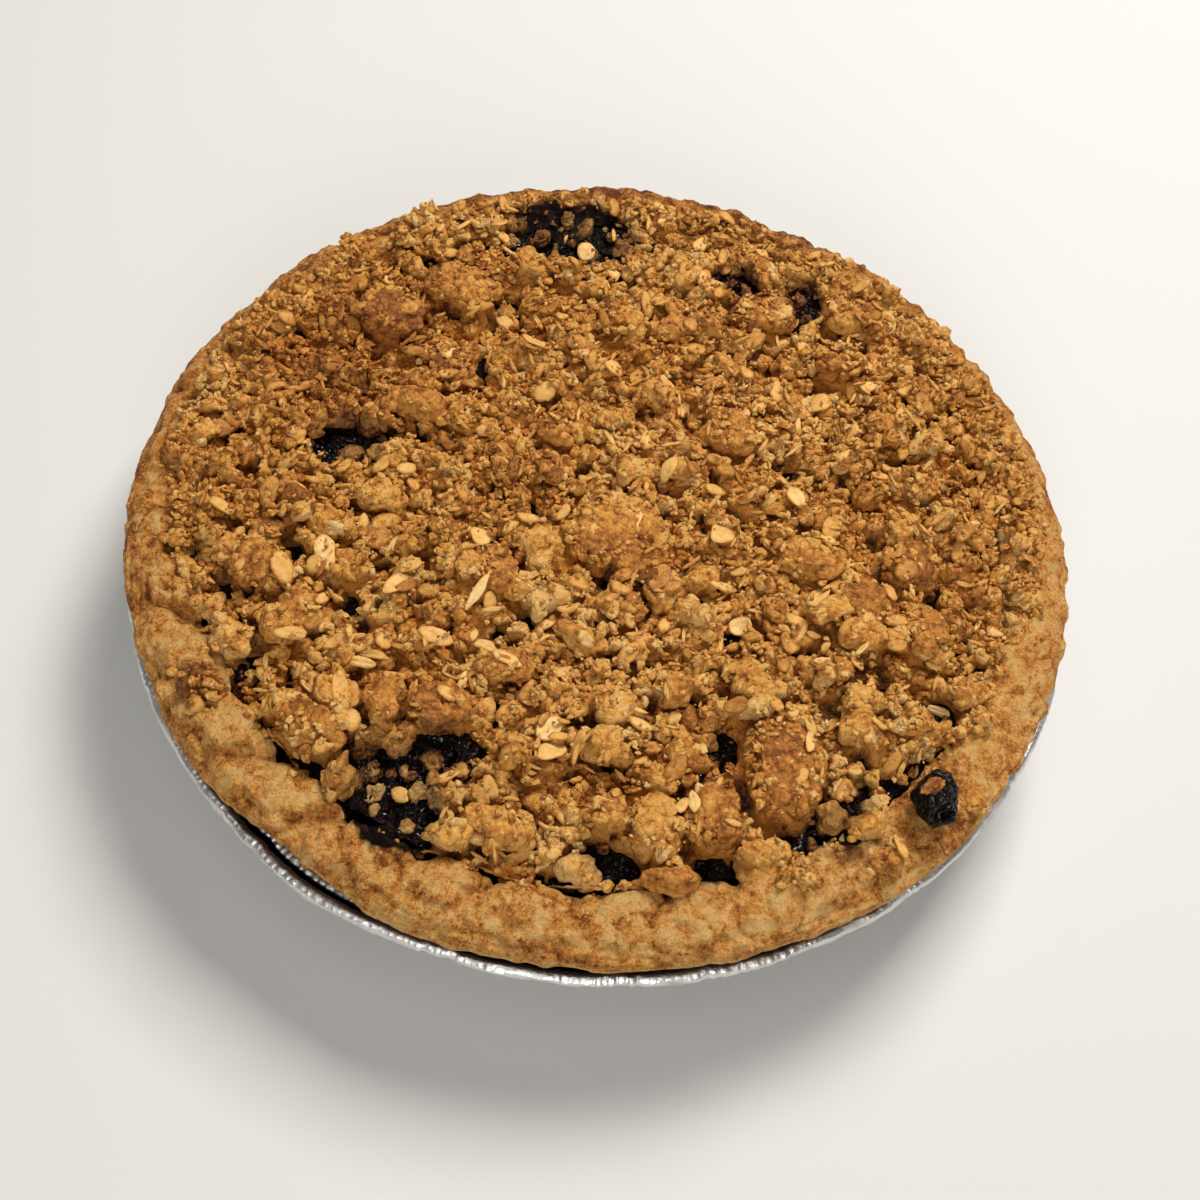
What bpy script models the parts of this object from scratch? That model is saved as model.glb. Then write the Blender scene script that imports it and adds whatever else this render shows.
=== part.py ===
"""A blueberry pie with an oat crumble top, in its own foil pie tin.

Metres, +Z up. The origin is the centre of the tin's flat base, and -Y is the side that a
person looking at the pie has in front.
"""
import math
import random
from typing import NamedTuple

import bmesh
import bpy
from mathutils import Matrix, Vector, noise

MM = 0.001
GAP = 0.3 * MM

# The foil tin
RIM_RADIUS = 120 * MM
BEAD = 1.7 * MM
BEAD_HEIGHT = 30.3 * MM
BASE_RADIUS = 92.5 * MM
FLANGE_RADIUS = 111.4 * MM
FLANGE_TOP = 29.6 * MM
FOIL = 0.6 * MM
TIN_SIDES = 72
BULGE = 1.3 * MM

# The pastry
EDGE_RADIUS = 117.6 * MM
EDGE_HEIGHT = 39.6 * MM
CREST_RADIUS = 107.2 * MM
CREST_HEIGHT = 45.8 * MM
RIM_CLEAR_RADIUS = 105 * MM
INNER_RADIUS = 101.5 * MM
FLOOR_RADIUS = 88.6 * MM
FLOOR_TOP = 4.6 * MM
SHOULDER_RADIUS = 103.6 * MM
SHOULDER_HEIGHT = 30 * MM
LOBES = 36
RIM_COLUMNS = 3 * LOBES
LOBE_DEPTH = 3.0 * MM
CREASE_DEPTH = 2.4 * MM

# The filling and the crumble
FILLING_EDGE_HEIGHT = 40.0 * MM
FILLING_DOME = 3.0 * MM
CRUMBLE_RADIUS = 100.8 * MM
CRUMBLE_FLARE = 2.4 * MM
CRUMBLE_EDGE = 5.6 * MM
CRUMBLE_CENTRE = 5.4 * MM
CORE_RINGS = 22
CORE_BUMP = 1.8 * MM
MEDIUM_CRUMBS = 70
OAT_FLAKES = 18
CRUMBLE_TRIANGLES = 8350

# Where the crumble leaves the filling bare: x, y, half lengths along x and y in mm, turn in degrees
BARE_PATCHES = [
    (-39, -87, 12.5, 9, 0),
    (-31, -74, 8, 6.5, 20),
    (-19, 94, 18, 11.5, 8),
    (-67, 12, 9, 7, 0),
    (35, -62, 4, 5.5, 0),
    (36, -94, 6.5, 4, 15),
    (11, -95, 6.5, 4, -10),
    (64, -76, 9, 5, 45),
    (86, -44, 4.5, 4, 0),
    (46, 81, 5, 8, 0),
    (27, 86, 6, 5, 0),
]

# The clumps a person would point at: x, y, half lengths along x, y and z in mm, turn in degrees
LARGE_CLUMPS = [
    (48, -66, 9, 15, 7.5, 6),
    (3, -8, 13.5, 11.5, 5.5, 0),
    (-33, -62, 7.5, 7, 5.5, 0),
    (-27, -26, 8.5, 7, 5.5, 0),
    (8, -56, 8.5, 6, 5, 0),
    (22, -86, 8.5, 8, 7, 0),
    (34, -83, 6.5, 7, 5.5, 0),
    (25, -95, 7, 4, 5, 10),
    (-11, -93, 9, 6, 5.5, 10),
    (-55, -64, 5, 7, 6, 5),
    (-45, -65, 5, 6, 5, 0),
    (-61, -72, 9, 5.5, 5.5, -25),
    (-51, -81, 4.5, 4.5, 5, 0),
    (52, -8, 8.5, 7, 5.5, 0),
    (75, -7, 6.5, 7, 5, 0),
    (66, -27, 7, 6, 5, 0),
    (80, -26, 6, 5.5, 5, 0),
    (-52, 25, 7.5, 4.5, 5, -10),
    (-29, 76, 6, 5.5, 5, 0),
    (-46, 64, 9.5, 7, 5, 0),
    (-64, 52, 8.5, 7, 5, 0),
    (57, 74, 6, 5, 5, 0),
    (56, 56, 8, 5, 5, 0),
    (34, 68, 8.5, 5, 5, 15),
    (-66, -44, 7.5, 7, 6, 0),
    (-79, -31, 7.5, 6, 5.5, 0),
    (17, -22, 6, 6, 5, 0),
    (41, -45, 5.5, 5, 5.5, 0),
    (-8, -72, 7, 6, 5.5, 0),
    (30, 28, 8, 6, 4.5, 0),
]

# Crumbs that lie on the pastry's rim: x, y, half lengths along x, y and z in mm
RIM_CRUMBS = [
    (-91, -65, 6, 5, 3.2),
    (95, -64.5, 3, 4, 2.8),
    (75, -84, 3.6, 4.5, 3.2),
    (60, -91, 4, 3.5, 3),
    (-104, 8, 4, 4.5, 3),
    (-104, 25, 4.5, 4, 3),
    (-100, 41, 4.5, 4, 3),
    (-91, 62, 4, 4, 3),
    (-80, 81, 3.2, 3.5, 2.8),
    (-62, 93, 4.5, 3.5, 3),
    (-33, 108, 3.5, 3, 4),
    (10, 107, 5, 3, 3),
    (31, 103, 4, 3.2, 2.8),
    (53, 97, 4, 4.5, 3.4),
    (69, 88, 5, 5, 4),
    (83, 77, 4, 4, 2.8),
    (93, 58, 4, 4.5, 3),
    (102, 42, 4, 4.5, 2.8),
    (106, 24, 4.5, 4.5, 3),
    (107, 8, 4.5, 4.5, 3),
    (107, -8, 4.5, 4.5, 3),
]

# Lumps that lie on the bare filling: x, y, half length in mm
FILLING_CRUMBS = [(-17, 92, 3.6), (-67, 10, 3.6), (-33, -90, 2.6), (-41, -83, 2.8), (-36, -75, 2.6)]

BLUEBERRY_PLACE = (84.7 * MM, -69.9 * MM)
BLUEBERRY_SIZE = (6.0 * MM, 7.8 * MM, 5.2 * MM)
BLUEBERRY_DENT = 2.2 * MM
BLUEBERRY_DENT_REACH = 9 * MM
BLUEBERRY_ROOM = 3


class Ring(NamedTuple):
    """A ring of points round the pie's axis.

    The last four say how much of the rim's slanted creases, lobe depth, crease depth and
    broken edge the ring has, from 0 to 1.
    """

    points: int
    radius: float
    height: float
    slant: float = 0.0
    inward: float = 0.0
    upward: float = 0.0
    retreat: float = 0.0


def clear_scene():
    """Takes every object out of the scene."""
    for thing in list(bpy.data.objects):
        bpy.data.objects.remove(thing, do_unlink=True)


def finish(name, colour, roughness, metallic=0.0):
    """A plain material in the piece's own colour."""
    material = bpy.data.materials.new(name)
    material.use_nodes = True
    shader = material.node_tree.nodes["Principled BSDF"]
    shader.inputs["Base Color"].default_value = (*colour, 1.0)
    shader.inputs["Roughness"].default_value = roughness
    shader.inputs["Metallic"].default_value = metallic
    return material


def object_from(shape, name, material=None):
    """Puts a bmesh into the scene as an object, with its faces pointing outwards."""
    bmesh.ops.recalc_face_normals(shape, faces=shape.faces)
    mesh = bpy.data.meshes.new(name)
    shape.to_mesh(mesh)
    shape.free()
    thing = bpy.data.objects.new(name, mesh)
    bpy.context.scene.collection.objects.link(thing)
    if material:
        mesh.materials.append(material)
    return thing


def stitch(shape, near, far):
    """Joins two rings of points with triangles, whatever their numbers of points."""
    i = j = 0
    while i < len(near) or j < len(far):
        start, end = near[i % len(near)], far[j % len(far)]
        if (i + 1) * len(far) <= (j + 1) * len(near):
            i += 1
            shape.faces.new((start, near[i % len(near)], end))
        else:
            j += 1
            shape.faces.new((start, far[j % len(far)], end))


def turned_solid(name, rings, place, material):
    """A closed solid through rings, where place(ring, share) is a point at a share of a turn."""
    shape = bmesh.new()
    loops = []
    for ring in rings:
        shares = [step / ring.points for step in range(ring.points)]
        loops.append([shape.verts.new(place(ring, share)) for share in shares])
    for near, far in zip(loops, loops[1:]):
        stitch(shape, near, far)
    shape.faces.new(loops[0])
    shape.faces.new(loops[-1])
    return object_from(shape, name, material)


def polar(radius, angle, height):
    """The point at a radius, an angle and a height."""
    return radius * math.cos(angle), radius * math.sin(angle), height


def swell(angle, middle, width):
    """1 at an angle in degrees, falling smoothly to 0 at width degrees from it."""
    away = abs((math.degrees(angle) - middle + 180) % 360 - 180)
    return 0.5 + 0.5 * math.cos(math.pi * min(away / width, 1))


def turned(x, y, degrees):
    """A place turned round the origin."""
    return Matrix.Rotation(math.radians(degrees), 2) @ Vector((x, y))


def within(x, y, middle_x, middle_y, half_x, half_y, turn):
    """Whether a place lies in an ellipse."""
    away = turned(x - middle_x, y - middle_y, -turn)
    return (away.x / half_x) ** 2 + (away.y / half_y) ** 2 < 1


def lump(at, size, turn, subdivisions, seed, hold=None, roughness=0.22):
    """An uneven rounded lump with half lengths size; hold(point) may move its points."""
    shape = bmesh.new()
    bmesh.ops.create_icosphere(shape, subdivisions=subdivisions, radius=1)
    spin = Matrix.Rotation(math.radians(turn), 3, "Z")
    offset = Vector((seed * 3.1, seed * 1.7, seed * 2.3))
    for point in shape.verts:
        reach = 1 + roughness * noise.noise(point.co * 1.9 + offset)
        local = Vector(part * half for part, half in zip(point.co, size))
        point.co = spin @ (local * reach) + Vector(at)
        if hold:
            hold(point.co)
    bmesh.ops.remove_doubles(shape, verts=shape.verts, dist=0.05 * MM)
    return object_from(shape, "lump")


def boolean(base, pieces, operation):
    """Joins the pieces to the base, or cuts them from it, in one applied modifier."""
    group = bpy.data.collections.new("pieces")
    bpy.context.scene.collection.children.link(group)
    for piece in pieces:
        bpy.context.scene.collection.objects.unlink(piece)
        group.objects.link(piece)
    modifier = base.modifiers.new("join", "BOOLEAN")
    modifier.operation = operation
    modifier.operand_type = "COLLECTION"
    modifier.collection = group
    modifier.solver = "EXACT"
    modifier.use_self = True
    bpy.context.view_layer.objects.active = base
    bpy.ops.object.modifier_apply(modifier=modifier.name)
    for piece in pieces:
        bpy.data.objects.remove(piece, do_unlink=True)
    bpy.data.collections.remove(group)


def keep_largest_body(thing):
    """Leaves one closed skin, so that a sealed hollow is filled and a loose scrap goes."""
    shape = bmesh.new()
    shape.from_mesh(thing.data)
    bmesh.ops.remove_doubles(shape, verts=shape.verts, dist=0.002 * MM)
    bmesh.ops.triangulate(shape, faces=shape.faces)
    unseen = set(shape.verts)
    bodies = []
    while unseen:
        body = {unseen.pop()}
        front = list(body)
        while front:
            for edge in front.pop().link_edges:
                found = [point for point in edge.verts if point in unseen]
                unseen.difference_update(found)
                body.update(found)
                front.extend(found)
        bodies.append(body)
    bodies.sort(key=len)
    for body in bodies[:-1]:
        bmesh.ops.delete(shape, geom=list(body), context="VERTS")
    shape.to_mesh(thing.data)
    shape.free()


def foil_tin():
    """The thin pressed tin: a flat base, a sloping wall, a narrow flange and a rolled edge."""
    bead_centre = RIM_RADIUS - BEAD
    bead_inner = bead_centre - BEAD
    bead_turns = [math.radians(degrees) for degrees in (-90, -45, 0, 45, 90)]
    rings = [Ring(3, BASE_RADIUS / 2, 0), Ring(TIN_SIDES, BASE_RADIUS, 0)]
    rings += [Ring(TIN_SIDES, BASE_RADIUS + 1.6 * MM, 1.2 * MM)]
    rings += [Ring(TIN_SIDES, FLANGE_RADIUS, FLANGE_TOP - FOIL)]
    rings += [
        Ring(TIN_SIDES, bead_centre + BEAD * math.cos(turn), BEAD_HEIGHT + BEAD * math.sin(turn))
        for turn in bead_turns
    ]
    rings += [Ring(TIN_SIDES, bead_inner, FLANGE_TOP), Ring(TIN_SIDES, FLANGE_RADIUS, FLANGE_TOP)]
    rings += [Ring(LOBES, BASE_RADIUS + FOIL, FOIL), Ring(3, BASE_RADIUS / 2, FOIL)]

    def place(ring, share):
        angle = 2 * math.pi * share
        lift = min(max(ring.height / BEAD_HEIGHT, 0), 1) ** 3
        bent = BULGE * (swell(angle, -118, 14) + 0.5 * swell(angle, -14, 12))
        return polar(ring.radius + bent * lift, angle, ring.height)

    return turned_solid("foil_tin", rings, place, finish("foil", (0.80, 0.79, 0.77), 0.28, 1.0))


def lobe_angle(lobes):
    """The angle of a lobe number, with lobes of uneven width."""
    turn = 2 * math.pi * lobes / LOBES
    return turn + math.radians(1.6) * math.sin(3 * turn + 1) + math.radians(0.8) * math.sin(8 * turn)


def crease(lobes):
    """1 in a crease between two lobes and 0 at the middle of a lobe.

    The pinches are deep in front and on the left, and faint on the right and behind.
    """
    strength = 0.45 + 0.55 * swell(lobe_angle(lobes), -130, 110)
    return strength * (1 - abs(math.sin(math.pi * lobes)) ** 0.6)


def edge_retreat(angle):
    """How far the pastry's outer edge stands back from its usual radius."""
    broken = 2.8 * MM * swell(angle, -121, 15)
    front = 0.9 * MM * swell(angle, -90, 60)
    return broken + front + 0.5 * MM * math.sin(5 * angle + 2) + 0.3 * MM * math.sin(11 * angle)


def berry_dent(x, y):
    """How deep the berry on the rim has sunk the pastry at a place."""
    away = math.hypot(x - BLUEBERRY_PLACE[0], y - BLUEBERRY_PLACE[1]) / BLUEBERRY_DENT_REACH
    return BLUEBERRY_DENT * math.exp(-(away**2))


def crust_point(ring, share):
    """The place of one point of the pastry."""
    lobes = share * LOBES
    angle = lobe_angle(lobes + 0.5 * ring.slant)
    depth = crease(lobes)
    radius = ring.radius + ring.inward * LOBE_DEPTH * depth - ring.retreat * edge_retreat(angle)
    x, y, height = polar(radius, angle, ring.height - ring.upward * CREASE_DEPTH * depth)
    wave = 0.7 * MM * noise.noise(Vector((math.cos(angle), math.sin(angle), 0)) * 9)
    return x, y, height + ring.upward * (wave - berry_dent(x, y))


def hold_on_rim(point):
    """Moves a rim crumb's point out from the crumble."""
    outward = max(RIM_CLEAR_RADIUS / math.hypot(point.x, point.y), 1)
    point.x *= outward
    point.y *= outward


def pastry_crust():
    """The pastry shell with its pinched rim, and the crumbs that lie on the rim."""
    outer_wall = FLANGE_RADIUS - 1.2 * MM
    rings = [
        Ring(3, FLOOR_RADIUS / 2, FLOOR_TOP),
        Ring(LOBES, FLOOR_RADIUS, FLOOR_TOP),
        Ring(LOBES, SHOULDER_RADIUS, SHOULDER_HEIGHT),
        Ring(RIM_COLUMNS, INNER_RADIUS, FILLING_EDGE_HEIGHT + 0.6 * MM, 0, 1, 0.1, 0),
        Ring(RIM_COLUMNS, INNER_RADIUS + 2 * MM, CREST_HEIGHT - 1.2 * MM, 0.1, 1, 1, 0),
        Ring(RIM_COLUMNS, CREST_RADIUS, CREST_HEIGHT, 0.4, 0.4, 1, 0.2),
        Ring(RIM_COLUMNS, 113 * MM, 44 * MM, 0.8, 0, 0.5, 0.7),
        Ring(RIM_COLUMNS, EDGE_RADIUS, EDGE_HEIGHT, 1, 0, 0.1, 1),
        Ring(TIN_SIDES, EDGE_RADIUS - 0.4 * MM, EDGE_HEIGHT - 4.2 * MM, 1, 0, 0, 1),
        Ring(TIN_SIDES, 113.2 * MM, FLANGE_TOP + 1.4 * GAP, 1),
        Ring(LOBES, outer_wall, FLANGE_TOP + GAP, 1),
        Ring(LOBES, BASE_RADIUS - 1.2 * MM, FOIL + GAP, 1),
        Ring(3, BASE_RADIUS / 2, FOIL + GAP, 1),
    ]
    pastry = finish("pastry", (0.50, 0.235, 0.065), 0.6)
    crust = turned_solid("pastry_crust", rings, crust_point, pastry)
    crumbs = []
    for number, (x, y, *size) in enumerate(RIM_CRUMBS):
        out = math.hypot(x, y) * MM
        slope = (CREST_HEIGHT - EDGE_HEIGHT) / (EDGE_RADIUS - CREST_RADIUS) ** 2
        surface = CREST_HEIGHT - slope * max(out - CREST_RADIUS, 0) ** 2
        half = [length * MM for length in size]
        at = (x * MM, y * MM, surface)
        crumbs.append(lump(at, half, 40 * number, 1, number + 1, hold_on_rim, 0.5))
    boolean(crust, crumbs, "UNION")
    keep_largest_body(crust)
    return crust


def filling_top(x, y):
    """The filling's level at a place: a low dome."""
    share = min(math.hypot(x, y) / INNER_RADIUS, 1)
    return FILLING_EDGE_HEIGHT + FILLING_DOME * (1 - share**2)


def dome_rings(height):
    """The rings that the filling's top and the crumble's underside share."""
    middles = ((LOBES, 0.65), (LOBES // 2, 0.33), (3, 0.1))
    return [Ring(points, share * INNER_RADIUS, height(share * INNER_RADIUS)) for points, share in middles]


def berries_in_patches():
    """Rounded tops of berries and small lumps where the filling is bare."""
    draw = random.Random(7)
    places = []
    for middle_x, middle_y, half_x, half_y, turn in BARE_PATCHES:
        wanted = max(1, round(half_x * half_y / 30))
        for _ in range(60):
            half = draw.uniform(3.0, 4.2)
            angle, share = draw.uniform(0, 2 * math.pi), math.sqrt(draw.random())
            reach = share * max(0.86 * half_x - half, 0), share * max(0.86 * half_y - half, 0)
            spot = turned(reach[0] * math.cos(angle), reach[1] * math.sin(angle), turn)
            x, y = middle_x + spot.x, middle_y + spot.y
            apart = all(math.hypot(x - other[0], y - other[1]) > half + other[2] for other in places)
            free = not near_clump(x, y, 1.3 * half) and math.hypot(x, y) + half < 97
            if wanted and apart and free and min(half_x, half_y) > 1.2 * half:
                places.append((x, y, half))
                wanted -= 1
    berries = []
    for number, (x, y, half) in enumerate(places + FILLING_CRUMBS):
        x, y, half = x * MM, y * MM, half * MM
        at = (x, y, filling_top(x, y) - 0.45 * half)
        detail = 2 if number < len(places) else 1
        berries.append(lump(at, (half, half, half), 60 * number, detail, 50 + number, None, 0.12))
    return berries


def blueberry_filling():
    """The set fruit filling, up to the level where it shows through the crumble."""
    clear = 2 * GAP
    rings = [
        Ring(3, FLOOR_RADIUS / 2, FLOOR_TOP + GAP),
        Ring(LOBES, FLOOR_RADIUS - clear, FLOOR_TOP + GAP),
        Ring(LOBES, SHOULDER_RADIUS - clear, SHOULDER_HEIGHT),
        Ring(2 * LOBES, INNER_RADIUS - clear, FILLING_EDGE_HEIGHT),
    ]
    rings += dome_rings(lambda radius: filling_top(radius, 0))

    def place(ring, share):
        return polar(ring.radius, lobe_angle(share * LOBES), ring.height)

    fruit = finish("fruit", (0.012, 0.004, 0.010), 0.2)
    filling = turned_solid("blueberry_filling", rings, place, fruit)
    boolean(filling, berries_in_patches(), "UNION")
    keep_largest_body(filling)
    return filling


def crumble_floor(x, y):
    """The underside of the crumble at a place, just clear of the filling."""
    return filling_top(x, y) + GAP


def crumble_top(x, y):
    """The mean top of the crumble's bed at a place."""
    share = min(math.hypot(x, y) / CRUMBLE_RADIUS, 1)
    return crumble_floor(x, y) + CRUMBLE_CENTRE + (CRUMBLE_EDGE - CRUMBLE_CENTRE) * share**2


def crumble_reach(x, y, height):
    """How far out the crumble may go: up the pastry's inner slope, clear of the rim's berry."""
    slope = CRUMBLE_FLARE / CRUMBLE_EDGE
    reach = CRUMBLE_RADIUS + slope * max(height - FILLING_EDGE_HEIGHT - GAP, 0)
    return min(reach, RIM_CLEAR_RADIUS - GAP) - BLUEBERRY_ROOM * berry_dent(x, y)


def crumble_bed():
    """The crumble's bed: rings of uneven points above a smooth underside."""
    draw = random.Random(3)
    spacing = CRUMBLE_RADIUS / CORE_RINGS
    rings = [Ring(3, 0.4 * spacing, 1, upward=1)]
    rings += [Ring(6 * number, spacing * number, 1, upward=1) for number in range(1, CORE_RINGS)]
    rings += [Ring(RIM_COLUMNS, CRUMBLE_RADIUS + CRUMBLE_FLARE, 1, inward=1, upward=0.3)]
    rings += [Ring(2 * LOBES, CRUMBLE_RADIUS, 0)]
    rings += dome_rings(lambda radius: 0)

    def place(ring, share):
        jitter = ring.upward > 0.5
        radius = ring.radius + jitter * spacing * draw.uniform(-0.28, 0.28)
        angle = lobe_angle(share * LOBES) + jitter * spacing / ring.radius * draw.uniform(-0.3, 0.3)
        x, y, level = polar(radius, angle, ring.height)
        low, high = crumble_floor(x, y), crumble_top(x, y)
        height = low + level * (high - low) + ring.upward * CORE_BUMP * draw.uniform(-1, 1)
        held = min(crumble_reach(x, y, height) / radius, 1) if ring.inward else 1
        return x * held, y * held, height

    return turned_solid("oat_crumble", rings, place, finish("crumble", (0.40, 0.165, 0.04), 0.85))


def patch_cutters():
    """Upright plugs with wavy outlines, one for each bare patch."""
    cutters = []
    for number, (middle_x, middle_y, half_x, half_y, turn) in enumerate(BARE_PATCHES):
        sides = 16 if half_x > 8 else 11
        shape = bmesh.new()
        outline = []
        for side in range(sides):
            angle = 2 * math.pi * side / sides
            wave = 1 + 0.13 * math.sin(5 * angle + number)
            spot = turned(half_x * wave * math.cos(angle), half_y * wave * math.sin(angle), turn)
            x, y = (spot.x + middle_x) * MM, (spot.y + middle_y) * MM
            outline.append(shape.verts.new((x, y, SHOULDER_HEIGHT)))
        base = shape.faces.new(outline)
        grown = bmesh.ops.extrude_face_region(shape, geom=[base])
        tops = [item for item in grown["geom"] if isinstance(item, bmesh.types.BMVert)]
        bmesh.ops.translate(shape, verts=tops, vec=(0, 0, SHOULDER_HEIGHT))
        cutters.append(object_from(shape, "cutter"))
    return cutters


def near_clump(x, y, margin):
    """Whether a place in mm is over a large clump widened by a margin in mm."""
    return any(
        within(x, y, middle_x, middle_y, half_x + margin, half_y + margin, turn)
        for middle_x, middle_y, half_x, half_y, _, turn in LARGE_CLUMPS
    )


def near_patch(x, y, margin):
    """Whether a place in mm is over a bare patch widened by a margin in mm."""
    return any(
        within(x, y, middle_x, middle_y, half_x + margin, half_y + margin, turn)
        for middle_x, middle_y, half_x, half_y, turn in BARE_PATCHES
    )


def clump_surface(x, y):
    """The height of the crumble's top at a place, large clumps included."""
    height = crumble_top(x, y)
    for middle_x, middle_y, half_x, half_y, half_z, _ in LARGE_CLUMPS:
        away = ((x / MM - middle_x) / half_x) ** 2 + ((y / MM - middle_y) / half_y) ** 2
        if away < 1:
            centre = crumble_top(middle_x * MM, middle_y * MM) - 0.1 * half_z * MM
            height = max(height, centre + half_z * MM * math.sqrt(1 - away))
    return height


def hold_in_crumble(point):
    """Moves a lump's point in from the pastry and up off the filling."""
    most = crumble_reach(*point)
    inward = most / max(math.hypot(point.x, point.y), most)
    point.x *= inward
    point.y *= inward
    point.z = max(point.z, crumble_floor(point.x, point.y) + 0.8 * MM)


def crumble_lumps():
    """The clumps, crumbs and oat flakes that stand out of the crumble's bed."""
    lumps = []
    for number, (x, y, half_x, half_y, half_z, turn) in enumerate(LARGE_CLUMPS):
        x, y = x * MM, y * MM
        at = (x, y, crumble_top(x, y) - 0.1 * half_z * MM)
        size = (half_x * MM, half_y * MM, half_z * MM)
        lumps.append(lump(at, size, turn, 2, 100 + number, hold_in_crumble, 0.3))
    draw = random.Random(11)
    taken = [(x, y, 0.75 * max(half_x, half_y)) for x, y, half_x, half_y, _, _ in LARGE_CLUMPS]
    made = 0
    while made < MEDIUM_CRUMBS:
        half = draw.uniform(3.2, 5.2)
        angle, radius = draw.uniform(0, 2 * math.pi), 97 * math.sqrt(draw.random())
        x, y, turn = radius * math.cos(angle), radius * math.sin(angle), draw.uniform(0, 180)
        crowded = any(math.hypot(x - at[0], y - at[1]) < 0.9 * (half + at[2]) for at in taken)
        if crowded or near_patch(x, y, half):
            continue
        taken.append((x, y, half))
        x, y, half = x * MM, y * MM, half * MM
        size = (1.15 * half, 0.9 * half, 0.85 * half)
        at = (x, y, crumble_top(x, y) + 0.2 * half)
        lumps.append(lump(at, size, turn, 1, 200 + made, hold_in_crumble, 0.4))
        made += 1
    made = 0
    while made < OAT_FLAKES:
        angle, radius = draw.uniform(0, 2 * math.pi), 92 * math.sqrt(draw.random())
        x, y, turn = radius * math.cos(angle), radius * math.sin(angle), draw.uniform(0, 180)
        if near_patch(x, y, 4):
            continue
        x, y = x * MM, y * MM
        at = (x, y, clump_surface(x, y) + 0.9 * MM)
        flake = (4.2 * MM, 2.9 * MM, 1.1 * MM)
        lumps.append(lump(at, flake, turn, 1, 400 + made, hold_in_crumble, 0.15))
        made += 1
    return lumps


def oat_crumble():
    """The baked oat crumble: its bed, opened over the bare patches, with its lumps fused on."""
    crumble = crumble_bed()
    boolean(crumble, patch_cutters(), "DIFFERENCE")
    boolean(crumble, crumble_lumps(), "UNION")
    keep_largest_body(crumble)
    thinning = crumble.modifiers.new("thinning", "DECIMATE")
    thinning.ratio = CRUMBLE_TRIANGLES / len(crumble.data.polygons)
    bpy.context.view_layer.objects.active = crumble
    bpy.ops.object.modifier_apply(modifier=thinning.name)
    return crumble


def blueberry():
    """The one whole baked berry that lies on the rim, with a crumb stuck to it."""
    x, y = BLUEBERRY_PLACE
    rest = CREST_HEIGHT - BLUEBERRY_DENT + 0.8 * MM

    def hold(point):
        point.z = max(point.z, rest)

    centre = (x, y, rest + 0.78 * BLUEBERRY_SIZE[2])
    berry = lump(centre, BLUEBERRY_SIZE, 20, 2, 31, hold, 0.3)
    berry.name = "blueberry"
    berry.data.materials.append(finish("berry_skin", (0.012, 0.008, 0.012), 0.35))
    crown = (x - 1.8 * MM, y + 0.4 * MM, centre[2] + 0.86 * BLUEBERRY_SIZE[2])
    crumb = lump(crown, (3.0 * MM, 1.8 * MM, 1.4 * MM), 30, 1, 77)
    boolean(berry, [crumb], "UNION")
    keep_largest_body(berry)
    return berry


def main():
    """Builds the pie's pieces in the order in which they go together."""
    clear_scene()
    foil_tin()
    pastry_crust()
    blueberry_filling()
    oat_crumble()
    blueberry()


main()
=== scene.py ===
"""A blueberry pie with an oat crumble top in its foil tin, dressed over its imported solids.

Metres, +Z up, and -Y is the side in front of a person who looks at the pie. The lists of
places give millimetres.
"""
import logging
import math
from collections.abc import Callable
from dataclasses import dataclass, field
from enum import Enum

import bpy
import numpy as np
from mathutils import Euler, Matrix, Vector


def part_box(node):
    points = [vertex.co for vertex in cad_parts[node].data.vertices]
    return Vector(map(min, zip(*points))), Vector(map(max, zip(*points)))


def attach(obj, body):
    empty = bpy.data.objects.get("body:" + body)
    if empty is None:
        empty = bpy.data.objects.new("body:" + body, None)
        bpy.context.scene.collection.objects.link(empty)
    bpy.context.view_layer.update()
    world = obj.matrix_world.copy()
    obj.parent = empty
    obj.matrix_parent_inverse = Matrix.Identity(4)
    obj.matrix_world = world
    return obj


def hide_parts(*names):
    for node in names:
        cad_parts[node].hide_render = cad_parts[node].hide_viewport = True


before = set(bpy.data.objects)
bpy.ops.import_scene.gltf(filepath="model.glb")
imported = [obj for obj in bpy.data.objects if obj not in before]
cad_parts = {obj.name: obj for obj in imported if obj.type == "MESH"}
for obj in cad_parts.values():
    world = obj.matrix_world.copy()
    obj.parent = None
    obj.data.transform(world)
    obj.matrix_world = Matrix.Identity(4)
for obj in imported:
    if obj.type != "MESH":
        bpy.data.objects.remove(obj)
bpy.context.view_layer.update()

MM = 0.001
LOG = logging.getLogger("pie")
Array = np.ndarray
Pair = tuple[float, float]
Triple = Colour = tuple[float, float, float]
Piece, Material = bpy.types.Object, bpy.types.Material
Placer = Callable[[Array, Array, Array], Array]

# Where the crumble leaves the filling bare: x, y, half lengths along x and y, turn in degrees
BARE_PATCHES = [
    (-39, -87, 12.5, 9, 0), (-44.5, -77.5, 7, 5, 10), (-31, -74, 8, 6.5, 20), (-19, 94, 18, 11.5, 8),
    (-67, 12, 9, 7, 0), (34.5, -62, 3, 4.4, 0), (36, -94, 6.5, 4, 15), (11, -95, 6.5, 4, -10),
    (64, -76, 8.5, 4, 45), (86, -44, 4.5, 4, 0), (46, 81, 5, 8, 0), (27, 86, 6, 5, 0),
]

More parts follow.
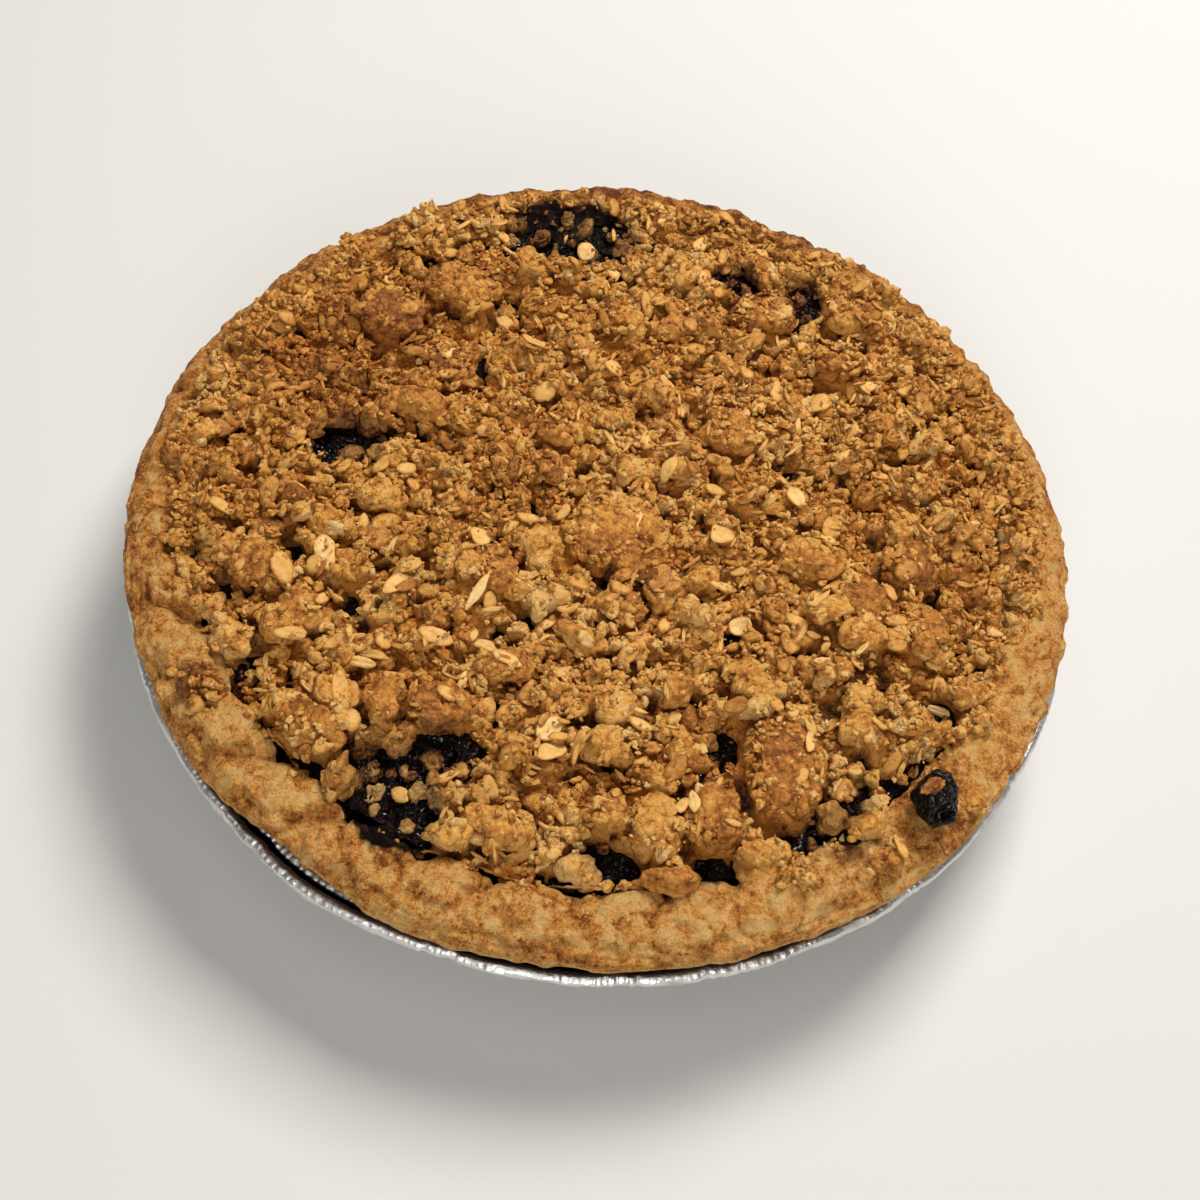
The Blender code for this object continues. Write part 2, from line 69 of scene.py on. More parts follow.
# Dark gaps between the crumbs: x, y, half lengths along x and y, turn in degrees
DARK_GAPS = [
    (-42, -21.5, 1.8, 2, 0), (-89, -31, 1.5, 1.5, 0), (-58.5, -35.5, 2, 3, 0),
    (-64.5, -48, 1.6, 1.3, 0), (-86, -45, 2.5, 1.1, 0), (-78, -53, 2.6, 1.6, 0),
    (-44, -56.5, 3.3, 1.9, 0), (-54, -57, 2.5, 1.1, 0), (-15, -36, 2.8, 1.6, 20),
    (-65, -21, 1.5, 1.5, 0), (-70, -1, 5, 1.3, 0), (-24, -70.5, 4.5, 2.3, 0), (-19, -61, 1.2, 4, 0),
    (-14, -79, 3, 1.5, 0), (-51.5, -74, 1.6, 2.6, 0), (-41, -67, 1.1, 3, 0), (34, -61, 3.2, 4, 0),
    (30, -65, 2.5, 1.4, 20), (26, -26, 1.1, 1.6, 0), (34, -48, 1.3, 1.3, 0), (51.5, -47.5, 1.3, 1.3, 0),
    (17, -53.5, 1.4, 1.9, 0), (54.5, -32, 1.4, 1.4, 0), (73, -15, 1.4, 1, 0), (91.5, -25, 2.5, 1.1, 0),
    (97, -29, 1.5, 1.6, 0), (85, -45, 2.7, 2.9, 0), (68, -69, 2.1, 4.6, -20), (64.5, -77, 1.3, 2.6, 0),
    (75, -64, 3, 1.7, -10), (53, -82.5, 2.9, 1.7, 0), (9, -91, 3.7, 1.9, 0), (13, -97.5, 3.5, 2, -20),
    (22, -73.5, 1.1, 1.1, 0), (11, -77, 2.5, 1, 0), (1, -75, 2, 1.1, 0), (-32, 52, 1.5, 1.5, 0),
    (11, 15, 1.4, 1.4, 0), (-17, 31, 1.4, 1.4, 0), (84, 18, 1.4, 1.4, 0), (25, 76, 2.2, 1.5, 0),
    (36, 76, 2.0, 1.4, 0), (53, 68, 3.2, 1.4, -20), (64, 63, 2.0, 1.2, 0),
]

# The clumps a person would point at: x, y, half lengths along x, y and z, turn in degrees
GREAT_CLUMPS = [
    (48.5, -66, 9.5, 14.5, 7.5, 6), (3, -8, 13, 12, 6, 0),
]
LARGE_CLUMPS = [
    (-33, -63, 6.6, 6.2, 5.5, 0), (-27, -24, 7.8, 6.4, 5.5, 0), (21, -87, 8.2, 7.7, 7, 0),
    (33.5, -83, 5.8, 7.2, 5.5, 0), (-61, -73, 9.2, 5.6, 5.5, -30), (52, -8, 8.3, 6.3, 5.5, 0),
    (76, -7, 6.4, 6.2, 5, 0), (66, -20, 7.2, 7.2, 5.5, 0), (-46, 64, 9.5, 7, 5, 0),
    (-64, 52, 8.5, 7, 5, 0), (56, 56, 8, 5, 5, 0), (34, 68, 8.5, 5, 5, 15), (30, 28, 8, 6, 4.5, 0),
]
CLUMPS = [
    (-13, -29, 5.7, 5.7, 5, 0), (9, -57, 6.7, 5.2, 5, 0), (8, -68, 7.2, 4.2, 5, 0),
    (26, -98, 6.6, 4, 4.5, 5), (5, -98, 5.2, 4, 4.5, 0), (9, -85, 4.7, 4.2, 5, 0),
    (-12, -92, 7.2, 5.2, 5.5, 5), (-25, -94, 5.2, 4.7, 5, 0), (-28, -83, 5.6, 4.6, 4.5, 40),
    (-56, -65, 4.8, 6.7, 6, 5), (-45, -64, 4.7, 6.2, 5.5, -5), (-46, -71.5, 3.6, 2.4, 3, 0),
    (-52, -84, 4.3, 4.6, 4.5, 0), (-84, -50, 5.3, 5.3, 4.5, 0), (-83, -32, 4.8, 5.8, 5, 0),
    (-92, -26, 4.8, 4.3, 4, 0), (-76, -12, 3.8, 5.3, 4.5, 0), (-68, -16, 4.8, 4.3, 4.5, 0),
    (-55, -7, 5.3, 6.2, 5, 0), (-68, -41, 5.3, 5.3, 5.5, 0), (-72, -48, 4.3, 4.8, 5, 0),
    (66, -29, 5.2, 4.3, 4.5, 0), (81, -26, 5.3, 5.8, 5, 0), (41, -47.5, 5.3, 5.3, 5.5, 0),
    (65, -53.5, 4.3, 4.8, 5, 0), (80, -49, 4.8, 4.3, 4.5, 0), (91, -38, 4.8, 4.3, 4, 0),
    (22, -50, 4.3, 5.3, 5, 0), (26, -68, 5.3, 3.8, 5, 0), (71, -71.5, 3.8, 4, 4, 0),
    (69, -78.5, 4.7, 3, 4, 20), (61, -76, 3.7, 4.2, 4, 0), (46, -90, 6.2, 4, 4, 20),
    (25, -17.5, 4.3, 4.3, 4.5, 0), (23, -27, 3.8, 4.3, 4.5, 0), (15, -22, 4.3, 5.7, 5, 0),
    (-52, 25, 7.5, 4.5, 5, -10), (-30, 77, 4.4, 4, 3.6, 0), (57, 74, 6, 5, 5, 0),
]

# Crumbs that lie on the pastry's rim: x, y, half lengths along x, y and z
RIM_CRUMBS = [
    (-89, -65, 7, 5.5, 3.6), (95, -66, 3.6, 4, 2.8), (75, -85.5, 4, 5, 3.2), (54.5, -92, 4.8, 3.6, 3.4),
    (94.5, -45, 3, 3, 2.6), (-104, 8, 4, 4.5, 3), (-104, 25, 4.5, 4, 3), (-100, 41, 4.5, 4, 3),
    (-91, 62, 4, 4, 3), (-80, 81, 3.2, 3.5, 2.8), (-62, 93, 4.5, 3.5, 3), (-33, 107, 3, 2.5, 2),
    (10, 106, 4, 2.5, 2), (31, 103, 4, 3.2, 2.4), (53, 97, 4, 4, 2.6), (69, 88, 4, 4, 2.6),
    (83, 77, 4, 4, 2.6), (93, 58, 4, 4.5, 3), (102, 42, 4, 4.5, 2.8), (106, 24, 4.5, 4.5, 3),
    (107, 8, 4.5, 4.5, 3), (107, -8, 4.5, 4.5, 3),
]

# Where fruit has bubbled over the pastry's inner slope: x, y, half lengths along x and y, turn in degrees
JAM_SPILLS = [(-17, 98, 18, 7, -3), (-41, -94.5, 10, 4.5, -24), (65, -78, 5, 4, 45)]

# Single places, x and y: the berry, its juice on the pastry, and where the crumble is browner
BERRY_PLACE = (84.7, -69.9)
JUICE_PLACE = (66, -79)
BROWNER_SIDE = (-70, 45)
BURNT_CRUMB = (-91, -65)

# Lumps that lie on the bare filling: x, y, half length
FILLING_CRUMBS = [
    (-32, -73.5, 2.9), (-45.5, -78.5, 2.4), (-41, -78, 1.3), (-36.5, -78, 1.3), (-43.5, -84.5, 2.1),
    (-33.7, -83, 2.2), (-35, -91.5, 2.0), (-26, -77, 2.4), (-19, -83.5, 2.0), (-15.3, 89.8, 2.8),
    (-28.6, 93.5, 3.0), (-24, 88, 1.8), (-21.7, 100.5, 2.4), (-15, 101, 1.9), (-5.5, 93, 2.8),
    (-9, 97, 1.6), (-10, 85, 2.0), (-3, 98, 1.7), (-67, 10, 3.6), (-70, 22, 2.0), (10, -90, 1.6),
    (45, 84, 2.2), (48, 77, 1.8), (26, 88, 1.9), (30, 84, 1.5), (66, -81, 2.0), (88, -44, 1.8),
]

# The oat flakes that stand out: x, y, half length and half width, turn in degrees
CLEAR_OATS = [
    (-75, -32, 4.6, 3.0, -55), (-66, -26, 4.8, 2.6, -70), (-47, -33, 5.0, 2.0, 60),
    (-69, -51.5, 4.0, 1.8, -5), (-28, -32.5, 5.0, 1.4, 65), (-29.5, -17, 3.0, 2.7, 80),
    (-36, -46, 4.3, 2.0, -10), (-24, -45, 3.6, 1.8, -40), (-28, -55.5, 3.0, 1.1, 75),
    (-50, -52.5, 4.5, 1.1, -15), (-52, -55, 3.6, 1.4, -5), (-18, -50, 4.0, 1.5, -25),
    (-6, -66, 3.4, 2.6, 60), (-5, -73, 4.7, 2.4, 50), (-94, -15, 3.6, 2.2, -20),
    (-55, -65, 5.0, 1.8, -75), (-45, -28, 3.0, 1.3, 30), (29, -6, 5.0, 3.0, 80),
    (54, -20, 4.0, 2.2, 70), (47, -34, 4.5, 1.8, 70), (56, -36, 2.6, 1.8, 60),
    (36, -29.5, 3.0, 2.4, 20), (15, -22, 4.0, 2.4, 75), (31, -20, 4.5, 1.8, 35), (6, -63, 3.8, 0.9, -5),
    (54, -61.5, 3.5, 1.4, 75), (49, -65, 1.6, 1.3, 0), (86, -42.5, 3.0, 1.2, -15),
    (69.5, -53, 3.6, 1.3, -60), (28.5, -81, 4.0, 1.4, -65), (77, -82.5, 3.2, 1.3, -60),
    (8, -6, 2.6, 1.1, 80), (-2, -10, 2.2, 1.4, 60), (-24, 48, 4.6, 2.2, 5), (-20, 33, 2.9, 2.5, 60),
    (-3, 43, 3.0, 2.2, 10), (52, 44, 3.4, 2.2, 30), (12, 42, 3.2, 2.0, 160), (47, 9, 3.6, 2.3, 120),
    (14, 12, 3.6, 1.6, 60), (-15.3, 90.2, 3.3, 2.4, 80),
]


class Slot(Enum):
    """The record's material slots."""

    FOIL = "foil"
    PASTRY = "pastry"
    FILLING = "filling"
    CRUMBLE = "crumble"
    BERRY = "berry_skin"


# Numbers on points


def cell_number(cells: Array, seed: int) -> Array:
    """Gives every whole-numbered cell of space its own number from 0 to 1.

    Args:
        cells: Whole numbers, three to a cell.
        seed: Sets one field of numbers apart from another.

    Returns:
        One number for each cell.
    """
    mixed = np.full(cells.shape[:-1], seed * 40503 + 977, np.uint32)
    for axis, factor in enumerate((2246822519, 3266489917, 668265263)):
        mixed = (mixed ^ cells[..., axis].astype(np.uint32)) * np.uint32(factor)
        mixed ^= mixed >> np.uint32(15)
    return (mixed / 2.0**32).astype(np.float32)


def swirl(points: Array, size: float, seed: int) -> Array:
    """Smooth unevenness on points.

    Args:
        points: Places, three numbers each.
        size: The distance over which it changes.
        seed: Sets one pattern apart from another.

    Returns:
        A number from -1 to 1 for each point.
    """
    scaled = np.asarray(points, np.float32) / np.float32(size)
    base = np.floor(scaled).astype(np.int64)
    part = scaled - base
    part = part * part * (3 - 2 * part)
    total = np.zeros(scaled.shape[:-1], np.float32)
    for corner in np.ndindex(2, 2, 2):
        weight = np.prod(np.where(corner, part, 1 - part), axis=-1)
        total += weight * cell_number(base + corner, seed)
    return 2 * total - 1


def pebbles(points: Array, size: float, seed: int) -> Array:
    """Rounded bumps packed side by side on points.

    Args:
        points: Places, three numbers each.
        size: The mean distance between bumps.
        seed: Sets one pattern apart from another.

    Returns:
        1 at the middle of each bump, falling to about 0 where bumps meet.
    """
    scaled = np.asarray(points, np.float32) / np.float32(size)
    base = np.floor(scaled).astype(np.int64)
    nearest = np.full(scaled.shape[:-1], 1, np.float32)
    for step in np.ndindex(3, 3, 3):
        cell = base + (np.array(step) - 1)
        away = 0
        for axis in range(3):
            middle = cell[..., axis] + cell_number(cell, seed + 11 * axis)
            away = away + (scaled[..., axis] - middle) ** 2
        nearest = np.minimum(nearest, away)
    return 1 - nearest


def rise(values: Array, low: float, high: float) -> Array:
    """0 up to low and 1 from high, smooth between them, in either direction."""
    share = np.clip((values - low) / (high - low), 0, 1)
    return share * share * (3 - 2 * share)


def swell(angle: Array, middle: float, width: float) -> Array:
    """1 at an angle in degrees, falling smoothly to 0 at width degrees from it."""
    away = np.abs((np.degrees(angle) - middle + 180) % 360 - 180)
    return 0.5 + 0.5 * np.cos(np.pi * np.minimum(away / width, 1))


def flat_points(x: Array, y: Array) -> Array:
    """The points over places at height 0."""
    return np.stack([x, y, 0 * x], axis=-1)


def distance(x: Array, y: Array, middle: Pair) -> Array:
    """How far places in metres are from one that is given in millimetres."""
    return np.hypot(x - middle[0] * MM, y - middle[1] * MM)


def ellipse_distance(x: Array, y: Array, rows: list[tuple]) -> Array:
    """How far places are from the nearest of some ellipses.

    Args:
        x: Places along x in metres.
        y: Places along y in metres.
        rows: x, y, half lengths along x and y, and last the turn, of each ellipse.

    Returns:
        0 at an ellipse's middle, 1 on its edge and more outside.
    """
    nearest = np.full(np.shape(x), 9.0)
    for middle_x, middle_y, half_x, half_y, *_, degrees in rows:
        turn = math.radians(degrees)
        across, along = x - middle_x * MM, y - middle_y * MM
        u = (across * math.cos(turn) + along * math.sin(turn)) / (half_x * MM)
        v = (along * math.cos(turn) - across * math.sin(turn)) / (half_y * MM)
        nearest = np.minimum(nearest, np.hypot(u, v))
    return nearest


def patch_distance(x: Array, y: Array) -> Array:
    """How far places are from the nearest bare patch, whose edge at 1 is ragged."""
    return ellipse_distance(x, y, BARE_PATCHES) + 0.14 * swirl(flat_points(x, y), 4.5 * MM, 75)


def gap(x: Array, y: Array) -> Array:
    """1 where there is a dark gap between the crumbs, and 0 where they close up."""
    flat = flat_points(x, y)
    often = 0.05 * rise(y, 20 * MM, -60 * MM) + 0.04 * rise(x, 0, -60 * MM)
    chance = 0.75 * swirl(flat, 4.2 * MM, 73) + 0.35 * swirl(flat, 1.9 * MM, 74) + often
    return np.maximum(rise(chance, 0.46, 0.54), rise(ellipse_distance(x, y, DARK_GAPS), 1.25, 0.9))


# Meshes


def pick(piece: Piece) -> None:
    """Makes a piece the only selected object, and the active one."""
    for other in bpy.context.selected_objects:
        other.select_set(False)
    piece.select_set(True)
    bpy.context.view_layer.objects.active = piece


def primitive(kind: str, name: str, **settings: object) -> Piece:
    """Adds one of Blender's own meshes under a name."""
    pick(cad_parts["foil_tin"])
    getattr(bpy.ops.mesh, f"primitive_{kind}_add")(**settings)
    return rename(bpy.context.object, name)


def added(name: str, data: bpy.types.ID) -> Piece:
    """Adds an object with its data to the scene."""
    made = bpy.data.objects.new(name, data)
    bpy.context.scene.collection.objects.link(made)
    return made


def smooth(piece: Piece) -> Piece:
    """Shades a piece as one rounded skin."""
    pick(piece)
    bpy.ops.object.shade_smooth()
    return piece


def points_of(piece: Piece, kind: str = "co") -> Array:
    """The places, or the normals, of a piece's points."""
    values = np.empty(len(piece.data.vertices) * 3, np.float32)
    piece.data.vertices.foreach_get(kind, values)
    return values.reshape(-1, 3)


def move_points(piece: Piece, points: Array) -> None:
    """Puts a piece's points at new places."""
    piece.data.vertices.foreach_set("co", np.asarray(points, np.float32).ravel())
    piece.data.update()


def push_out(piece: Piece, depth: Array) -> None:
    """Moves a piece's points outwards along its skin by a depth each."""
    move_points(piece, points_of(piece) + points_of(piece, "normal") * np.asarray(depth)[:, None])


def edit(piece: Piece, *steps: tuple[str, dict], chosen: Array | None = None, by: str = "FACE") -> None:
    """Runs edit mode operators on a piece.

    Args:
        piece: The piece.
        steps: The operators' names and their settings.
        chosen: Which faces or points they start with, where it isn't all of them.
        by: FACE or VERT, for what is chosen.
    """
    pick(piece)
    bpy.ops.object.mode_set(mode="EDIT")
    bpy.ops.mesh.select_all(action="SELECT")
    if chosen is not None:
        bpy.ops.mesh.select_mode(type=by)
        bpy.ops.mesh.select_all(action="DESELECT")
        bpy.ops.object.mode_set(mode="OBJECT")
        elements = piece.data.polygons if by == "FACE" else piece.data.vertices
        elements.foreach_set("select", chosen)
        bpy.ops.object.mode_set(mode="EDIT")
    for name, settings in steps:
        getattr(bpy.ops.mesh, name)(**settings)
    bpy.ops.object.mode_set(mode="OBJECT")


def modify(piece: Piece, kind: str, **settings: object) -> None:
    """Adds a modifier with its settings, and applies it."""
    pick(piece)
    modifier = piece.modifiers.new(kind.lower(), kind)
    for name, value in settings.items():
        setattr(modifier, name, value)
    bpy.ops.object.modifier_apply(modifier=modifier.name)


def rename(piece: Piece, name: str) -> Piece:
    """Names a piece and its mesh."""
    piece.name = piece.data.name = name
    return piece


def paint(piece: Piece, **layers: Array) -> None:
    """Writes numbers for each point of a piece, for its material to read by their names."""
    for name, values in layers.items():
        layer = piece.data.attributes.new(name, "FLOAT", "POINT")
        layer.data.foreach_set("value", np.asarray(values, np.float32).ravel())


def taken(piece: Piece, name: str) -> Array:
    """Reads the numbers painted on a piece's points, and takes the paint away."""
    layer = piece.data.attributes[name]
    values = np.empty(len(piece.data.vertices), np.float32)
    layer.data.foreach_get("value", values)
    piece.data.attributes.remove(layer)
    return values


def wrapped(name: str, rows: Array, columns: int, place: Placer) -> Piece:
    """A closed skin round the pie's axis, shaped from a flat grid.

    Args:
        name: The piece's name.
        rows: The rows of its section, from the first pole to the last.
        columns: The number of faces round the axis.
        place: Gives the points for arrays of row numbers, rows and shares of a turn.

    Returns:
        The piece, with its seam and poles closed.
    """
    last = len(rows) - 1
    piece = primitive("grid", name, x_subdivisions=columns, y_subdivisions=last, size=1)
    flat = points_of(piece) + 0.5
    row = np.rint(flat[:, 1] * last).astype(int)
    column = np.rint(flat[:, 0] * columns).astype(int) % columns
    move_points(piece, place(row, rows[row], column / columns))
    paint(piece, row=row)
    edit(piece, ("remove_doubles", {"threshold": 0.001 * MM}), ("normals_make_consistent", {"inside": False}))
    return smooth(piece)


def template(subdivisions: int) -> tuple[Array, Array]:
    """A round ball of one unit, to be shaped into crumbs.

    Args:
        subdivisions: How finely the ball is divided.

    Returns:
        Its points, and its triangles as numbers of points.
    """
    return take(primitive("ico_sphere", "ball", subdivisions=subdivisions, radius=1))


def take(ball: Piece) -> tuple[Array, Array]:
    """Reads a template's points and triangles, and takes the object away."""
    points = points_of(ball).copy()
    faces = np.empty(len(ball.data.polygons) * 3, np.int32)
    ball.data.polygons.foreach_get("vertices", faces)
    bpy.data.objects.remove(ball)
    return points, faces.reshape(-1, 3)


def joined(name: str, points: Array, faces: Array) -> Piece:
    """One piece out of many shaped copies of a template.

    Args:
        name: The piece's name.
        points: The copies' points, as copies by points by three.
        faces: The template's triangles.

    Returns:
        The piece.
    """
    copies, each = points.shape[:2]
    corners = (faces[None] + (np.arange(copies) * each)[:, None, None]).reshape(-1).astype(np.int32)
    mesh = bpy.data.meshes.new(name)
    mesh.vertices.add(copies * each)
    mesh.vertices.foreach_set("co", points.astype(np.float32).ravel())
    mesh.loops.add(len(corners))
    mesh.loops.foreach_set("vertex_index", corners)
    mesh.polygons.add(len(corners) // 3)
    mesh.polygons.foreach_set("loop_start", np.arange(0, len(corners), 3, dtype=np.int32))
    mesh.update(calc_edges=True)
    return smooth(added(name, mesh))


def hand_over(piece: Piece, slot: Slot, material: Material, *nodes: str) -> None:
    """Gives a finished piece its material and its body.

    Args:
        piece: The piece.
        slot: The record's slot for its finish; it is not used.
        material: The material that it wears.
        nodes: The solids that it stands for.
    """
    piece.data.materials.clear()
    piece.data.materials.append(material)
    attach(piece, "root")
    if nodes:
        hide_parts(*nodes)
    LOG.info("%s: %d faces", piece.name, len(piece.data.polygons))


# Materials


def arithmetic(operation: str, plain_first: bool = False) -> Callable[["Signal", object], "Signal"]:
    """Makes a method that adds a Math node on a signal and another number.

    Args:
        operation: What the node does.
        plain_first: Whether the other number comes before the signal.

    Returns:
        The method.
    """

    def method(self: "Signal", other: object) -> "Signal":
        """The result on the signal and the other number."""
        first, second = (other, self) if plain_first else (self, other)
        return self.graph.node("Math", {"operation": operation}, {0: first, 1: second})

    return method


class Signal:
    """A number or colour on its way through a material, with Python's arithmetic."""

    def __init__(self, graph: "Graph", socket: bpy.types.NodeSocket) -> None:
        """Wraps a socket of a material's graph."""
        self.graph = graph
        self.socket = socket

    __add__, __radd__ = arithmetic("ADD"), arithmetic("ADD", plain_first=True)
    __sub__, __rsub__ = arithmetic("SUBTRACT"), arithmetic("SUBTRACT", plain_first=True)
    __mul__, __rmul__ = arithmetic("MULTIPLY"), arithmetic("MULTIPLY", plain_first=True)

    def band(self, low: float, high: float) -> "Signal":
        """0 at low and 1 at high, smooth between them and level beyond."""
        sockets = {"Value": self, "From Min": low, "From Max": high}
        return self.graph.node("MapRange", {"interpolation_type": "SMOOTHSTEP"}, sockets)


class Graph:
    """A material's nodes."""

    def __init__(self, name: str) -> None:
        """Starts a material with a plain surface shader."""
        self.material = bpy.data.materials.new(name)
        self.material.use_nodes = True
        self.tree = self.material.node_tree
        self.shader = self.tree.nodes["Principled BSDF"]
        self.place = self.node("TexCoord", {}, {}, "Object")

    def node(self, kind: str, settings: dict, inputs: dict, output: int | str = 0) -> Signal:
        """Adds a node.

        Args:
            kind: The node's type, without its family name.
            settings: Its settings; a ramp's are its stops of place and colour.
            inputs: The numbers, colours or signals of its sockets.
            output: The socket that carries its result.

        Returns:
            The result.
        """
        family = "ShaderNodeTex" if kind in ("Noise", "Voronoi") else "ShaderNode"
        made = self.tree.nodes.new(family + kind)
        for name, value in settings.items():
            if name == "stops":
                for number, (at, colour) in enumerate(value):
                    stops = made.color_ramp.elements
                    stop = stops[number] if number < 2 else stops.new(at)
                    stop.position = at
                    stop.color = (*colour, 1)
            else:
                setattr(made, name, value)
        for name, value in inputs.items():
            self.feed(made.inputs[name], value)
        return Signal(self, made.outputs[output])

    def feed(self, socket: bpy.types.NodeSocket, value: object) -> None:
        """Links a signal to a socket, or sets a plain value on it."""
        if isinstance(value, Signal):
            self.tree.links.new(value.socket, socket)
        elif socket.type == "RGBA":
            socket.default_value = (*value, 1)
        else:
            socket.default_value = value

    def noise(self, size: float, detail: float = 2.0, roughness: float = 0.5) -> Signal:
        """Cloudy variation about 0.5, with features of a size in metres."""
        sockets = {"Vector": self.place, "Scale": 1 / size, "Detail": detail, "Roughness": roughness}
        return self.node("Noise", {}, sockets, "Fac")

    def granules(self, size: float) -> Signal:
        """Uneven rounded grains packed side by side: 1 on top, and less where they meet."""
        cloud = {"Vector": self.place, "Scale": 0.7 / size, "Detail": 2.0}
        shift = {0: self.node("Noise", {}, cloud, "Color"), 1: (1.6 * size,) * 3, 2: self.place}
        warped = self.node("VectorMath", {"operation": "MULTIPLY_ADD"}, shift)
        away = self.node("Voronoi", {}, {"Vector": warped, "Scale": 1 / size}, "Distance")
        return 1 - away * away

    def painted(self, name: str) -> Signal:
        """The numbers written on the piece's points."""
        return self.node("Attribute", {"attribute_name": name}, {}, "Fac")

    def ramp(self, value: Signal, *stops: tuple[float, Colour]) -> Signal:
        """A colour for a number, blended between stops."""
        return self.node("ValToRGB", {"stops": stops}, {"Fac": value}, "Color")

    def mix(self, share: object, first: object, second: object, blend: str = "MIX") -> Signal:
        """One colour passing into another."""
        settings = {"data_type": "RGBA", "blend_type": blend}
        return self.node("Mix", settings, {0: share, 6: first, 7: second}, 2)

    def bump(self, height: Signal, depth: float, strength: float) -> Signal:
        """The normal of a surface with fine relief."""
        sockets = {"Height": height, "Distance": depth, "Strength": strength}
        return self.node("Bump", {}, sockets, "Normal")

    def finish(self, **sockets: object) -> Material:
        """Feeds the shader's sockets, named with _ for a space, and gives the material."""
        for name, value in sockets.items():
            self.feed(self.shader.inputs[name.replace("_", " ")], value)
        return self.material


def shade(red: float, green: float, blue: float) -> Colour:
    """A colour that is given as it looks on a screen, with parts from 11 to 255."""
    return tuple(((part / 255 + 0.055) / 1.055) ** 2.4 for part in (red, green, blue))


@dataclass(frozen=True)
class FoilFinish:
    """Thin bright aluminium foil with fine creases."""

    colour: Colour = (0.76, 0.75, 0.735)
    roughness: float = 0.34

    def material(self) -> Material:
        """Bright metal, cloudy where fingers and heat have dulled it, and near black where shade is painted
        into the rim's groove and onto its ledge.
        """
        graph = Graph("crimped_foil")
        clouds = graph.noise(9 * MM, 4)
        creases = graph.noise(1.6 * MM, 4, 0.6)
        tint = graph.mix(clouds.band(0.5, 0.8), self.colour, shade(222, 214, 200))
        # Painted shade: near black in the groove inside the rolled edge and on the ledge under the crust's
        # lip.
        baked = graph.mix(graph.painted("tarnish"), tint, (0.004, 0.002, 0.0015))
        return graph.finish(
            Base_Color=baked,
            Metallic=1.0,
            Roughness=self.roughness + 0.16 * clouds.band(0.35, 0.7),
            Normal=graph.bump(creases, 0.5 * MM, 0.8),
        )


@dataclass(frozen=True)
class PastryFinish:
    """Golden baked pastry, blistered and browned on its high places."""

    pale: Colour = shade(255, 206, 126)
    gold: Colour = shade(244, 169, 80)
    tan: Colour = shade(206, 129, 50)
    brown: Colour = shade(122, 62, 16)

    def material(self) -> Material:
        """Mottled gold with brown blisters and fine specks, darker where its fine relief is low as painted
        shade.
        """
        graph = Graph("baked_pastry")
        broad = graph.noise(12 * MM, 3)
        blotch = graph.noise(4.0 * MM, 5, 0.6)
        fine = graph.noise(1.1 * MM, 6, 0.74)
        grit = graph.noise(0.55 * MM, 3, 0.7)
        flake = graph.noise(3.2 * MM, 4, 0.6).band(0.58, 0.64)
        speck = graph.noise(0.9 * MM, 3, 0.7).band(0.55, 0.61)
        scorch = graph.noise(2.4 * MM, 5, 0.65).band(0.60, 0.68)
        # The painted numbers carry the browning, and painted shade in the creases, on the folds and under the
        # lip.
        bake = graph.painted("bake")
        # The fine and grit terms are painted shade: the colour is darker where the bump relief is low.
        level = bake + 0.7 * (broad - 0.5) + 1.7 * (blotch - 0.5) + 1.5 * (0.5 - fine) + 0.4 * (0.5 - grit)
        level += 0.10 * speck + 0.30 * scorch - 0.32 * flake
        stops = (0.12, self.pale), (0.42, self.gold), (0.66, self.tan), (0.95, self.brown)
        colour = graph.ramp(level, *stops)
        stained = graph.mix(graph.painted("stain") * blotch.band(0.4, 0.6), colour, shade(92, 38, 34))
        # Fruit colour where juice has run, and near black under the rim's lip at the front as painted shade
        # and burnt juice.
        jam = graph.painted("jam")
        fruit = graph.mix(blotch.band(0.5, 0.62), (0.006, 0.002, 0.002), (0.045, 0.014, 0.010))
        relief = 0.52 * fine + 0.42 * graph.noise(2.6 * MM, 4, 0.6) + 0.30 * grit
        return graph.finish(
            Base_Color=graph.mix(jam, stained, fruit),
            Roughness=0.46 + 0.25 * blotch - 0.38 * jam,
            Specular_IOR_Level=0.3,
            Normal=graph.bump(relief, 3.4 * MM, 1.0),
        )


@dataclass(frozen=True)
class FillingFinish:
    """Near-black purple set fruit, wet and glossy."""

    deep: Colour = (0.0015, 0.0004, 0.0005)
    plum: Colour = (0.006, 0.0015, 0.0015)
    rust: Colour = (0.11, 0.028, 0.012)

    def material(self) -> Material:
        """Dark jelly with wrinkles that catch small lights."""
        graph = Graph("set_fruit")
        patchy = graph.noise(3.5 * MM, 4, 0.6)
        thin = graph.noise(1.4 * MM, 3, 0.6)
        dark = graph.mix(patchy.band(0.45, 0.62), self.deep, self.plum)
        # Red-brown streaks: reddish bits of fruit, and painted glints of light through the fruit.
        colour = graph.mix(0.6 * thin.band(0.60, 0.72), dark, self.rust)
        relief = graph.noise(1.3 * MM, 3, 0.6)
        return graph.finish(
            Base_Color=colour,
            Roughness=0.05 + 0.10 * patchy.band(0.45, 0.7),
            Coat_Weight=0.7 * graph.noise(0.7 * MM, 3, 0.6).band(0.55, 0.61),
            Coat_Roughness=0.08,
            Specular_IOR_Level=0.10,
            Normal=graph.bump(relief, 1.6 * MM, 1.0),
        )


